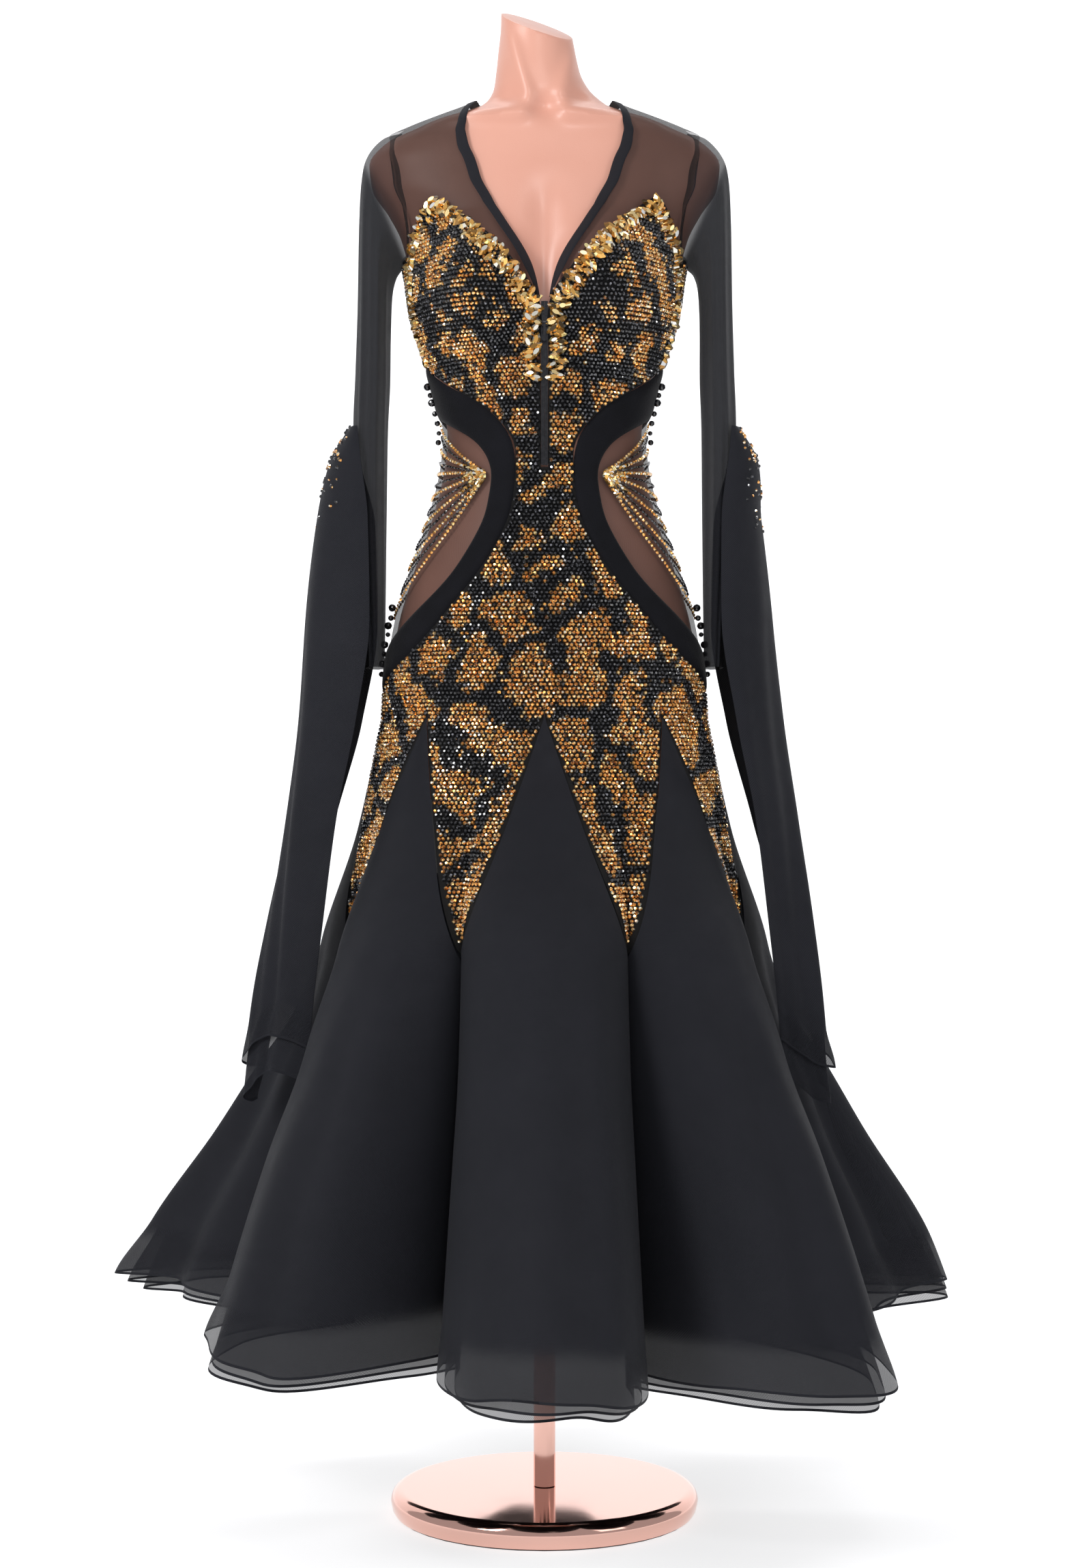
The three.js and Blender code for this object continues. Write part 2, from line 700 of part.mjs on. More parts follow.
function skirt() {
  const names = ["front", "front_left", "left", "back_left", "back", "back_right", "right", "front_right"];
  for (let i = 0; i < godets; i++) {
    const middle = i * pitch;
    const edge = (side) => (v) => {
      const z = v < 0.5 ? THREE.MathUtils.lerp(hipLine, pointHeight, 2 * v) : THREE.MathUtils.lerp(pointHeight, hemHeight, 2 * v - 1);
      return [middle + side * godetHalf(z), z];
    };
    add("godet_" + names[i], panel(edge(-1), edge(1), { rows: 10, columns: 8, gap: 0.3, endGap: 6 }), chiffon);
  }
  // Each gore runs from the waist or the band down to a point between two godets.
  const goreNames = ["front_left", "side_front_left", "side_back_left", "back_left"];
  for (const [suffix, turn] of [
    ["", (curve) => curve],
    ["mirror", mirrored],
  ]) {
    goreNames.forEach((goreName, i) => {
      const name = "hip_gore_" + (suffix ? goreName.replace("left", "right") : goreName);
      const [low, high] = [i * pitch, (i + 1) * pitch];
      const lower = (side) => (w) => {
        const z = THREE.MathUtils.lerp(hipLine, pointHeight, w);
        return [side < 0 ? low + godetHalf(z) : high - godetHalf(z), z];
      };
      const upperShare = 0.5;
      const join = (upper, below) => (v) => (v < upperShare ? upper(v / upperShare) : below((v - upperShare) / (1 - upperShare)));
      const straight = (angle, top) => (w) => [angle, THREE.MathUtils.lerp(top, hipLine, w)];
      const front = i < 2;
      const band = front ? bandInner : behind(bandInner);
      // the stretch of the band's edge over this gore
      const along = (from, to) => (w) => {
        const [angle, z] = band(THREE.MathUtils.lerp(from, to, w));
        return [angle + (front ? -0.8 : 0.8), z - (i === 1 || i === 2 ? 5 : 2.6)];
      };
      const crossing = 0.79; // where the band's edge passes the first princess seam
      let inner;
      let outer;
      if (i === 0 || i === 3) {
        const middleLine = straight(i === 0 ? 0 : 180, waistSeam);
        const bandSide = (w) =>
          w < 0.72
            ? along(bandSplit, crossing)(w / 0.72)
            : [i === 0 ? high : low, THREE.MathUtils.lerp(band(crossing)[1], hipLine, (w - 0.72) / 0.28)];
        inner = i === 0 ? middleLine : bandSide;
        outer = i === 0 ? bandSide : middleLine;
      } else {
        const sideAngle = 90;
        const topSide = (w) =>
          w < 0.6
            ? along(crossing, 1)(w / 0.6)
            : [sideAngle, THREE.MathUtils.lerp(825, hipLine, (w - 0.6) / 0.4)];
        const seamLine = (w) => [front ? low : high, THREE.MathUtils.lerp(band(crossing)[1], hipLine, w)];
        inner = front ? seamLine : topSide;
        outer = front ? topSide : seamLine;
      }
      const left = join(inner, lower(-1));
      const right = join(outer, lower(1));
      add(name, panel(turn(left), turn(right), { rows: 10, columns: 3, endGap: 3 }), stoned);
    });
  }
  const underNames = ["front_left", "back_left", "back_right", "front_right"];
  underNames.forEach((name, i) => {
    const start = pitch / 2 + (i - 1) * 2 * pitch + pitch;
    const edge = (angle) => (v) => [angle, THREE.MathUtils.lerp(pointHeight, hemHeight - underDrop, v)];
    const underFace = (angle, z) => skirtPoint(angle, z, 1);
    const on = (angle, z, depth) => underFace(angle, z).addScaledVector(outward(underFace, angle, z), -depth);
    add(
      "underskirt_" + name,
      panel(edge(start), edge(start + 2 * pitch), { rows: 5, columns: 16, gap: 0.15, on, top: 0, bottom: meshThickness }),
      crinChiffon,
    );
  });
}

// ---------- waist stay, zip, sleeves ----------
// An elastic stay inside the waist takes the gown's pull and grips the form.
function waistStay() {
  const profile = [[3, 0], [3, 1], [2, 1], [2, 0], [3, 0]].map(([r, y]) => new THREE.Vector2(r, y));
  const geometry = shaped(new THREE.LatheGeometry(profile, 36), (x, y, z) => {
    const lift = liningLift + liningThickness * (Math.hypot(x, z) - 2);
    return onForm(THREE.MathUtils.radToDeg(Math.atan2(x, z)), stayBottom + stayHeight * y, lift);
  });
  add("waist_stay", geometry, lining);
}

function zip() {
  // The zip lies on the straight stretch of the centre front, so its frame is one line.
  const foot = onGown(0, waistSeam + 2, clothThickness);
  const head = onGown(0, waistSeam + 2 + zipLength, clothThickness);
  const up = head.clone().sub(foot).normalize();
  const frame = new THREE.Matrix4().makeBasis(
    new THREE.Vector3(1, 0, 0),
    up,
    new THREE.Vector3(1, 0, 0).cross(up),
  );
  frame.setPosition(foot);
  const zipGroup = new THREE.Group();
  zipGroup.applyMatrix4(frame);
  gown.add(zipGroup);
  const tapeThickness = 0.8;
  const coilWidth = 1.3;
  const coilHeight = 1.8;
  const tapeEdge = zipWidth / 2 - 2 * seamGap;
  for (const [side, sign] of [
    ["left", 1],
    ["right", -1],
  ]) {
    const outline = new THREE.Shape();
    [
      [restGap / 2, 0],
      [tapeEdge, 0],
      [tapeEdge, tapeThickness],
      [restGap / 2 + coilWidth, tapeThickness],
      [restGap / 2 + coilWidth, coilHeight],
      [restGap / 2, coilHeight],
    ].forEach(([x, z], i) => (i ? outline.lineTo(sign * x, z) : outline.moveTo(sign * x, z)));
    const strip = new THREE.ExtrudeGeometry(outline, { depth: zipLength, bevelEnabled: false });
    const placed = shaped(strip, (x, y, z) => new THREE.Vector3(x, z, y));
    add("zip_tape_" + side, placed, zipMetal, zipGroup);
  }
  // The slider's saddle rides over the coils, and its pull swings on a small bar.
  const sliderHeight = 2.2;
  const sliderLength = 9;
  const sliderY = zipLength - 20;
  const plate = new THREE.BoxGeometry(5.4, sliderLength, sliderHeight);
  plate.translate(0, sliderY, coilHeight + restGap + sliderHeight / 2);
  const barZ = coilHeight + restGap + sliderHeight + 1.9;
  const barY = sliderY - 1;
  const bar = new THREE.CylinderGeometry(0.6, 0.6, 4.4, 12);
  bar.rotateZ(Math.PI / 2);
  bar.translate(0, barY, barZ);
  const ears = [-1, 1].map((s) => {
    const ear = new THREE.BoxGeometry(0.9, 2.4, 3.2);
    return ear.translate(s * 2.1, barY, barZ - 1.4);
  });
  const slider = [bar, ...ears].reduce((sum, piece) => sum.add(solid(bare(piece))), solid(bare(plate)));
  add("zip_slider", geometryOf(slider), zipMetal, zipGroup);
  const pullLength = 20;
  const eyeOuter = new THREE.CylinderGeometry(1.5, 1.5, 2.8, 16);
  const eyeBore = new THREE.CylinderGeometry(0.9, 0.9, 4, 16);
  const tab = new THREE.Shape();
  tab.moveTo(-1.1, -1.2);
  tab.lineTo(-1.1, -pullLength * 0.55);
  tab.absarc(0, -pullLength * 0.8, 2.6, Math.PI, 2 * Math.PI, false);
  tab.lineTo(1.1, -pullLength * 0.55);
  tab.lineTo(1.1, -1.2);
  const blade = new THREE.ExtrudeGeometry(tab, { depth: 1.2, bevelEnabled: false, curveSegments: 8 });
  blade.translate(0, 0, -0.6);
  const eye = solid(eyeOuter.rotateZ(Math.PI / 2)).add(solid(blade)).subtract(solid(eyeBore.rotateZ(Math.PI / 2)));
  const pull = geometryOf(eye).translate(0, barY, barZ);
  add("zip_pull", pull, zipMetal, zipGroup);
}

// A hanging sleeve: height, middle, half width and half depth of its sections.
const sleeveSection = table([
  [shoulderZ, shoulderX, 19, 47],
  [1290, shoulderX, 19, 47],
  [1250, 172.5, 18.5, 46],
  [1200, 174.5, 18, 45],
  [1100, 177, 19, 43],
  [1000, 177.5, 17, 41],
  [900, 172, 11, 38],
  [cuffHeight, 170, 9, 36],
]);
// A float: height, how far out its fold reaches, its front edge's place, its middle's and half depth, and how far
// round it comes at the back, in degrees.
const floatSection = table([
  [floatTop, 198.2, 186, 0, 44, 60],
  [1060, 217, 182, 0, 47, 80],
  [1000, 231, 174, 0, 50, 90],
  [900, 244, 172, 0, 52, 90],
  [800, 251, 185, -8, 50, 88],
  [700, 261, 203, -34, 43, 80],
  [600, 273, 214, -66, 30, 60],
  [520, 283, 222, -84, 24, 42],
  [floatBottom, 292, 228, -92, 22, 30],
]);

function sleeves() {
  for (const [side, sign, reach] of [
    ["left", 1, 0.8],
    ["right", -1, 1],
  ]) {
    // the sleeve head: a shell over the shoulder's end, open towards the body, fixed to the yoke
    const headX = 153;
    const headReach = shoulderX + 19 - headX;
    const headPoint = (turn, share, depth) => {
      const low = shoulderZ - Math.sqrt((sleeveReach - 0.6) ** 2 - (headX + headReach * Math.cos(turn) - shoulderX) ** 2);
      const bulgeStart = 0.42;
      const rise = THREE.MathUtils.clamp((share - bulgeStart) / (1 - bulgeStart), 0, 1);
      const middleZ = 1336;
      const topZ = 1394;
      const z = share < bulgeStart
        ? THREE.MathUtils.lerp(low, middleZ, share / bulgeStart)
        : middleZ + (topZ - middleZ - depth) * Math.sin((rise * Math.PI) / 2 * 0.94);
      const shrink = Math.cos((rise * Math.PI) / 2 * 0.94);
      const [rx, ry] = [(headReach - depth) * shrink, (47 - depth) * shrink];
      return new THREE.Vector3(sign * (headX + rx * Math.cos(turn)), ry * Math.sin(turn), z);
    };
    add(
      "sleeve_head_" + side,
      shaped(slab(10, 6), (x, y, z) =>
        headPoint(rad(172 * x), y + 0.5, z > 0 ? 0 : clothThickness),
      ),
      sheerMesh,
    );
    // the hanging sleeve: a tube whose top follows an arc round the shoulder's pivot
    const levels = [0, 0.25, 0.5, 0.75, 1];
    const closed = [
      ...levels.map((y) => new THREE.Vector2(3, y)),
      ...levels.toReversed().map((y) => new THREE.Vector2(2, y)),
      new THREE.Vector2(3, 0),
    ];
    const tube = shaped(new THREE.LatheGeometry(closed, 24), (x, y, z) => {
      const turn = Math.atan2(x, z);
      const depth = clothThickness * (3 - Math.hypot(x, z));
      const topX = (19 - depth) * Math.cos(turn);
      const top = shoulderZ - Math.sqrt(sleeveReach ** 2 - topX ** 2);
      const height = THREE.MathUtils.lerp(cuffHeight, top, y);
      const [middle, halfWidth, halfDepth] = sleeveSection(height);
      return new THREE.Vector3(
        sign * (middle + (halfWidth - depth) * Math.cos(turn)),
        (halfDepth - depth) * Math.sin(turn),
        height,
      );
    });
    add("sleeve_" + side, tube, sheerMesh);
    // the float: a curtain hung on the sleeve's outer half from the elbow
    const floatPoint = (turn, height, depth) => {
      const [outer, edge, middleY, halfDepth] = floatSection(height);
      const out = edge + (outer - edge) * THREE.MathUtils.lerp(reach, 1, THREE.MathUtils.smoothstep(height, 1000, 1080));
      return new THREE.Vector3(
        sign * (edge + (out - edge - depth) * Math.cos(turn)),
        middleY + (halfDepth - depth) * Math.sin(turn),
        height,
      );
    };
    add(
      "float_" + side,
      shaped(slab(10, 9), (x, y, z) => {
        const height = THREE.MathUtils.lerp(floatBottom, floatTop, y + 0.5);
        const back = floatSection(height)[4];
        const turn = rad(THREE.MathUtils.lerp(-88, back, x + 0.5));
        return floatPoint(turn, height, z > 0 ? 0 : clothThickness);
      }),
      chiffon,
    );
  }
}

stand();
displayForm();
upperPart();
skirt();
waistStay();
zip();
sleeves();

export default gown;
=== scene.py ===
# %% [markdown]
# # A ballroom dance gown on its display form
#
# The gown is stretch cloth covered in small glued stones, with a sheer yoke, sheer sleeves and sheer side
# windows, velvet bands round the windows, and a skirt of eight chiffon godets. It hangs on a headless
# shell of blush pink plastic, on a polished rose gold pole and base.
#
# Every cell below makes one piece or one finish. Sizes are millimetres, as on a maker's drawing, and are
# turned to Blender's metres in one place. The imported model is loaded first, because each piece rides on
# one of its bodies.

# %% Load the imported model
import json
import math

import bmesh
import bpy
import numpy as np
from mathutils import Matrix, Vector

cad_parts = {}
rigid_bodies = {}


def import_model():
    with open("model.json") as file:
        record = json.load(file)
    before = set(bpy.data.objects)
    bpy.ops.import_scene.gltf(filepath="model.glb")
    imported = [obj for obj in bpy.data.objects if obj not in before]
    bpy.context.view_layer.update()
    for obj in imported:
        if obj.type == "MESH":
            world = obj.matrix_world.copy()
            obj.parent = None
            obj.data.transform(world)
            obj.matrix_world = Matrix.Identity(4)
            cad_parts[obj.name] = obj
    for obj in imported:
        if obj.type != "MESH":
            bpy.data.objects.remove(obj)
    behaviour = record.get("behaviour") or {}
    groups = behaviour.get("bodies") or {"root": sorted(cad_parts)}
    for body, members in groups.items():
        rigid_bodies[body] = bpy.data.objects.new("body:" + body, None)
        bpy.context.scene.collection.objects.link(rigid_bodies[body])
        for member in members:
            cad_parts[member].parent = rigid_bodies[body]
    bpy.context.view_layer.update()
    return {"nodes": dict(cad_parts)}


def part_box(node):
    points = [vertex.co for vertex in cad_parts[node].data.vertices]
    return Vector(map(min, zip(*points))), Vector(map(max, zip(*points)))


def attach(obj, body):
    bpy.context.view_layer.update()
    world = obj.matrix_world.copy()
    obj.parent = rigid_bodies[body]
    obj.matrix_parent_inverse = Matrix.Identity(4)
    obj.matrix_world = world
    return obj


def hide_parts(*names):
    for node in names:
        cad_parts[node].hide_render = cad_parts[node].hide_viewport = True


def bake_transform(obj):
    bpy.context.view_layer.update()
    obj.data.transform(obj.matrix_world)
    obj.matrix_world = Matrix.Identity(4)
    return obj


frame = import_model()

MM = 0.001

# %% [markdown]
# The camera stands level, a little under three metres from the gown and at half its height, as a
# customer sees it in a shop. A long lens keeps the hem and the shoulders in proportion.

# %% Camera
camera_data = bpy.data.cameras.new("camera")
camera_data.lens = 64.5
camera = bpy.data.objects.new("camera", camera_data)
camera.location = (0, -2.84, 0.735)
camera.rotation_euler = (math.radians(90), 0, 0)
bpy.context.scene.collection.objects.link(camera)
bpy.context.scene.camera = camera

# %% [markdown]
# A dress form and the gown on it are a stack of ovals. A few named ovals with their heights are enough,
# if a smooth curve runs through them, so each shape here is a short table. The curve is a cubic whose
# slopes never overshoot, so a waist stays a waist.

# %% Smooth tables
def table(rows):
    rows = np.array(sorted(rows), float)
    z, values = rows[:, 0], rows[:, 1:]
    steps = np.diff(values, axis=0) / np.diff(z)[:, None]
    slopes = np.vstack([steps[:1], np.zeros_like(steps[:-1]), steps[-1:]])
    product = steps[:-1] * steps[1:]
    same = product > 0
    slopes[1:-1][same] = 2 * product[same] / (steps[:-1] + steps[1:])[same]

    def read(height):
        height = np.asarray(height, float)
        i = np.clip(np.searchsorted(z, height) - 1, 0, len(z) - 2)
        span = z[i + 1] - z[i]
        s = np.clip((height - z[i]) / span, 0, 1)[..., None]
        span = span[..., None]
        return (
            (1 + 2 * s) * (1 - s) ** 2 * values[i]
            + s * (1 - s) ** 2 * span * slopes[i]
            + s * s * (3 - 2 * s) * values[i + 1]
            + s * s * (s - 1) * span * slopes[i + 1]
        )

    return read


def smooth_step(x, low, high):
    s = np.clip((np.asarray(x, float) - low) / (high - low), 0, 1)
    return s * s * (3 - 2 * s)


def bump(x, middle, width):
    return np.exp(-(((x - middle) / width) ** 2))


# %% [markdown]
# The form's ovals, from the neck to the open bottom: height, half width, depth in front of the pole's
# axis, depth behind it, and how far the oval leans sideways. The bust is two soft mounds on top of that,
# and the collarbones, the neck's tendons and the hollow of the chest are small waves.

# %% The form's surface
form_section = table([
    (1560, 34, 40, 34, -10),
    (1500, 35.5, 41, 34, -8.5),
    (1475, 38.5, 43, 37, -8),
    (1452, 42.5, 46, 41, -6.5),
    (1434, 49, 48, 48, -3),
    (1420, 63, 50, 54, 0),
    (1411, 86, 52, 59, 0),
    (1403, 109, 54, 62, 0),
    (1392, 138, 56, 66, 0),
    (1381, 161, 58, 70, 0),
    (1360, 177, 62, 76, 0),
    (1335, 174, 68, 84, 0),
    (1310, 158, 74, 90, 0),
    (1285, 145, 80, 93, 0),
    (1250, 136, 86, 93, 0),
    (1207, 129.5, 89, 89, 0),
    (1166, 117, 87.5, 83, 0),
    (1124, 105, 86, 76, 0),
    (1086, 98, 84.5, 71, 0),
    (1059, 100, 84, 70, 0),
    (1003, 113, 88, 76, 0),
    (948, 132, 94, 90, 0),
    (893, 148, 98, 106, 0),
    (838, 156, 98, 115, 0),
    (790, 158, 94, 112, 0),
    (720, 152, 86, 98, 0),
])
BUST_X, BUST_Z, BUST_REACH_X, BUST_REACH_Z, BUST_HEIGHT = 70, 1234, 69, 74, 36


def form_point(angle, z):
    angle, z = np.broadcast_arrays(np.radians(angle), np.asarray(z, float))
    width, front, back, lean = np.moveaxis(form_section(z), -1, 0)
    s, c = np.sin(angle), np.cos(angle)
    x = width * s
    y = np.where(c > 0, -front * c, -back * c)
    d = ((np.abs(x) - BUST_X) / BUST_REACH_X) ** 2 + ((z - BUST_Z) / BUST_REACH_Z) ** 2
    y = y - np.where(c > 0, BUST_HEIGHT * np.clip(1 - d, 0, 1) ** 2, 0)
    return np.stack([x + lean, y, z], -1)


def outward(surface, angle, z):
    across = surface(angle + 0.2, z) - surface(angle - 0.2, z)
    up = surface(angle, z + 0.5) - surface(angle, z - 0.5)
    normal = np.cross(across, up)
    return normal / np.maximum(np.linalg.norm(normal, axis=-1, keepdims=True), 1e-9)


# %% [markdown]
# The gown lies a few millimetres off the form down to the hip. Below the hip the eight godets spread
# like petals: each has its seams in a valley that hangs straight down, and a rounded ridge between them.
# Real chiffon never hangs evenly, so every petal gets its own fullness and a few soft folds, all from
# one seeded table. The folds grow towards the hem and die out at the seams.

# %% The gown's surface
CLOTH_LIFT = 6.4
HIP_LINE = 800
POINT_HEIGHT = 573
HEM_HEIGHT = 190
GODETS = 8
PITCH = 360 / GODETS
VALLEY_RADIUS = 206
hip_width, hip_front, hip_back = form_section(HIP_LINE)[:3]
skirt_section = table([
    (HIP_LINE, hip_width + CLOTH_LIFT, hip_front + CLOTH_LIFT, hip_back + CLOTH_LIFT),
    (690, 184, 144, 150),
    (POINT_HEIGHT, VALLEY_RADIUS, 0.94 * VALLEY_RADIUS, 0.94 * VALLEY_RADIUS),
    (150, VALLEY_RADIUS, 0.94 * VALLEY_RADIUS, 0.94 * VALLEY_RADIUS),
])
# how far a ridge stands out past the valleys, at the front and at the sides
flare = table([
    (HIP_LINE, 0, 0),
    (700, 11, 4),
    (577, 46, 18),
    (500, 84, 44),
    (459, 103, 70),
    (386, 146, 112),
    (284, 196, 178),
    (200, 230, 212),
    (150, 246, 226),
])
chance = np.random.default_rng(11)
FOLDS = 4
fold_size = chance.uniform(0.4, 1.0, (GODETS, FOLDS))
fold_phase = chance.uniform(0, 2 * math.pi, (GODETS, FOLDS))
fullness = chance.uniform(0.93, 1.0, GODETS)


def skirt_point(angle, z, layer=0, low=VALLEY_RADIUS):
    """A point on the skirt. layer 0 is the outer face; each layer under it is a little narrower."""
    angle, z = np.broadcast_arrays(np.asarray(angle, float), np.asarray(z, float))
    width, front, back = np.moveaxis(skirt_section(z) - 4.0 * layer, -1, 0)
    full, side = np.moveaxis(flare(z), -1, 0)
    turn = np.radians(angle)
    s, c = np.sin(turn), np.cos(turn)
    godet = np.round(angle / PITCH).astype(int) % GODETS
    across = (angle / PITCH - np.round(angle / PITCH)) * 2
    share = (1 - 0.025 * layer) * np.abs(np.cos(across * math.pi / 2)) ** (0.7 + 0.16 * layer)
    side_share = smooth_step(np.abs(s), 0.8, 0.95)
    down = smooth_step(z, 640, 240)
    folds = sum(
        fold_size[godet, k] * np.sin((k + 1.3) * math.pi * across + fold_phase[godet, k] + 0.5 * layer)
        for k in range(FOLDS)
    )
    seam_fade = np.cos(across * math.pi / 2) ** 0.8
    out = share * (full + (side - full) * side_share) * (1 - (1 - fullness[godet]) * down)
    out = out + 9.0 * folds * down * seam_fade
    sway = 3.2 * down * seam_fade * np.sin(3.1 * across * math.pi + fold_phase[godet, 0])
    x = width * s + out * s + sway * c
    y = -np.where(c > 0, front, back) * c - out * c + sway * s
    return np.stack([x, y, z], -1)


def gown_face(angle, z):
    on_form = form_point(angle, z) + CLOTH_LIFT * outward(form_point, angle, z)
    return np.where(np.asarray(z)[..., None] >= HIP_LINE, on_form, skirt_point(angle, z))


def on_gown(angle, z, lift=0.0):
    angle, z = np.broadcast_arrays(np.asarray(angle, float), np.asarray(z, float))
    return gown_face(angle, z) + lift * outward(gown_face, angle, z)


# %% [markdown]
# A seam is a smooth curve drawn on the body through a few chosen points, each an angle round the body
# (0 at the front, 90 at the wearer's left) and a height. Neighbouring panels share the same curve, so
# they meet without a gap, as sewn cloth does.

# %% Seams
def seam(points):
    points = np.array(points, float)
    last = len(points) - 1

    def read(v):
        place = np.clip(np.asarray(v, float), 0, 1) * last
        i = np.minimum(place.astype(int), last - 1)
        t = (place - i)[..., None]
        before, start, end, after = (points[np.clip(i + k, 0, last)] for k in (-1, 0, 1, 2))
        leave, arrive = (end - before) / 2, (after - start) / 2
        return (
            (2 * start - 2 * end + leave + arrive) * t**3
            + (3 * end - 3 * start - 2 * leave - arrive) * t**2
            + leave * t
            + start
        )

    return read


def mirrored(curve):
    return lambda v: curve(v) * (-1, 1)


def behind(curve):
    return lambda v: (180, 0) + curve(v) * (-1, 1)


V_BOTTOM = 1208
WAIST_SEAM = 1045
SHOULDER_NECK = 1419
ZIP_ANGLE = 2.0
band_inner = seam([
    (88, 1158), (62, 1134), (36, 1109), (19, 1074), (15.5, 1030), (19.5, 982), (33, 927), (55, 870),
    (88, 826),
])
band_outer = seam(
    [(88, 1104), (62, 1090), (41, 1072), (30.5, 1048), (29, 1017), (32, 984), (43, 938), (61, 902), (88, 868)]
)
cup_inner = seam([
    (ZIP_ANGLE, WAIST_SEAM), (ZIP_ANGLE, 1100), (ZIP_ANGLE, 1155), (ZIP_ANGLE, V_BOTTOM - 2), (12, 1238),
    (20, 1262), (28, 1282), (34, 1300), (41, 1316),
])
cup_outer = seam([
    (15.4, WAIST_SEAM), (18, 1074), (33, 1105), (57, 1131), (78, 1155), (79, 1195), (74, 1245), (62, 1282),
    (45, 1315),
])
neck_line = seam([
    (ZIP_ANGLE, V_BOTTOM + 3), (6.6, 1244), (15.4, 1285), (20.4, 1325), (24.3, 1362), (34.5, 1393),
    (58, 1413), (90, SHOULDER_NECK),
])


def joined(*parts):
    """Curves one after another, each given with the share of v where it ends."""
    def read(v):
        v = np.asarray(v, float)
        out = np.zeros(v.shape + (2,))
        start = 0.0
        for curve, end in parts:
            here = (v >= start) & ((v < end) | (end == 1))
            out[here] = curve((v[here] - start) / (end - start))
            start = end
        return out

    return read


def part_of(curve, start, end):
    return lambda v: curve(start + (end - start) * np.asarray(v, float))


# %% [markdown]
# One helper makes every panel of cloth. It starts from Blender's grid, and moves each vertex to its
# place between two seams. It also writes the panel's own UV map in millimetres of cloth, counted up from
# the panel's last row, so that a weave keeps its true scale and a hem knows its own height. Then it
# measures the flat piece that the panel was cut from.

# %% Panels of cloth
def finish_object(bm, name, body, smooth=True):
    for face in bm.faces:
        face.smooth = smooth
    mesh = bpy.data.meshes.new(name)
    bm.to_mesh(mesh)
    bm.free()
    piece = bpy.data.objects.new(name, mesh)
    bpy.context.scene.collection.objects.link(piece)
    if body:
        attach(piece, body)
    return piece


cloth_cut = {}


def cloth(name, place, columns, rows, body):
    """place(u, v) gives points in millimetres for u and v from 0 to 1."""
    bm = bmesh.new()
    bmesh.ops.create_grid(bm, x_segments=columns, y_segments=rows, size=0.5)
    uv_layer = bm.loops.layers.uv.new("cloth")
    flat = np.array([vertex.co for vertex in bm.verts])[:, :2] + 0.5
    points = place(flat[:, 0], flat[:, 1])
    u, v = np.meshgrid(np.linspace(0, 1, columns + 1), np.linspace(0, 1, rows + 1))
    sheet_points = place(u.ravel(), v.ravel()).reshape(rows + 1, columns + 1, 3)
    width = np.linalg.norm(np.diff(sheet_points, axis=1), axis=2).sum(axis=1).max()
    length = np.linalg.norm(np.diff(sheet_points[:, columns // 2], axis=0), axis=1).sum()
    for face in bm.faces:
        for loop in face.loops:
            loop[uv_layer].uv = ((loop.vert.co.x + 0.5) * width, (0.5 - loop.vert.co.y) * length)
    for vertex, point in zip(bm.verts, points):
        vertex.co = Vector(point * MM)
    bm.normal_update()
    area = sum(face.calc_area() for face in bm.faces)
    piece = finish_object(bm, name, body)
    cloth_cut[name] = (width * MM, length * MM, area)
    return piece


def between(left, right, lift=0.0):
    def place(u, v):
        start, end = left(v), right(v)
        spot = start + (end - start) * u[:, None]
        return on_gown(spot[:, 0], spot[:, 1], lift)

    return place


def declare_cloth(piece):
    width, length, area = cloth_cut[piece.name]
    share = min(max(area, 0.31 * width * length), width * length)
    print(f"{piece.name}: {width * 1000:.0f} x {length * 1000:.0f} mm, {area:.4f} m2")

# %% [markdown]
# Blender's shaders are built from nodes, and long sums of Math nodes are hard to read. This small class
# lets a socket be used in an ordinary expression, and one method makes every other node. Only what
# changes over the surface goes through nodes: a number that is the same everywhere is set on the
# shader itself.

# %% A short way to write shaders
class Socket:
    def __init__(self, finish, socket):
        self.finish = finish
        self.socket = socket

    def maths(self, operation, *others):
        return self.finish.node("Math", {"operation": operation}, dict(enumerate((self, *others))))

    def __add__(self, other):
        return self.maths("ADD", other)

    def __sub__(self, other):
        return self.maths("SUBTRACT", other)

    def __rsub__(self, other):
        return self.finish.node("Math", {"operation": "SUBTRACT"}, {0: other, 1: self})

    def __mul__(self, other):
        return self.maths("MULTIPLY", other)

    def __lt__(self, other):
        return self.maths("LESS_THAN", other)

    def __gt__(self, other):
        return self.maths("GREATER_THAN", other)

    __radd__ = __add__
    __rmul__ = __mul__


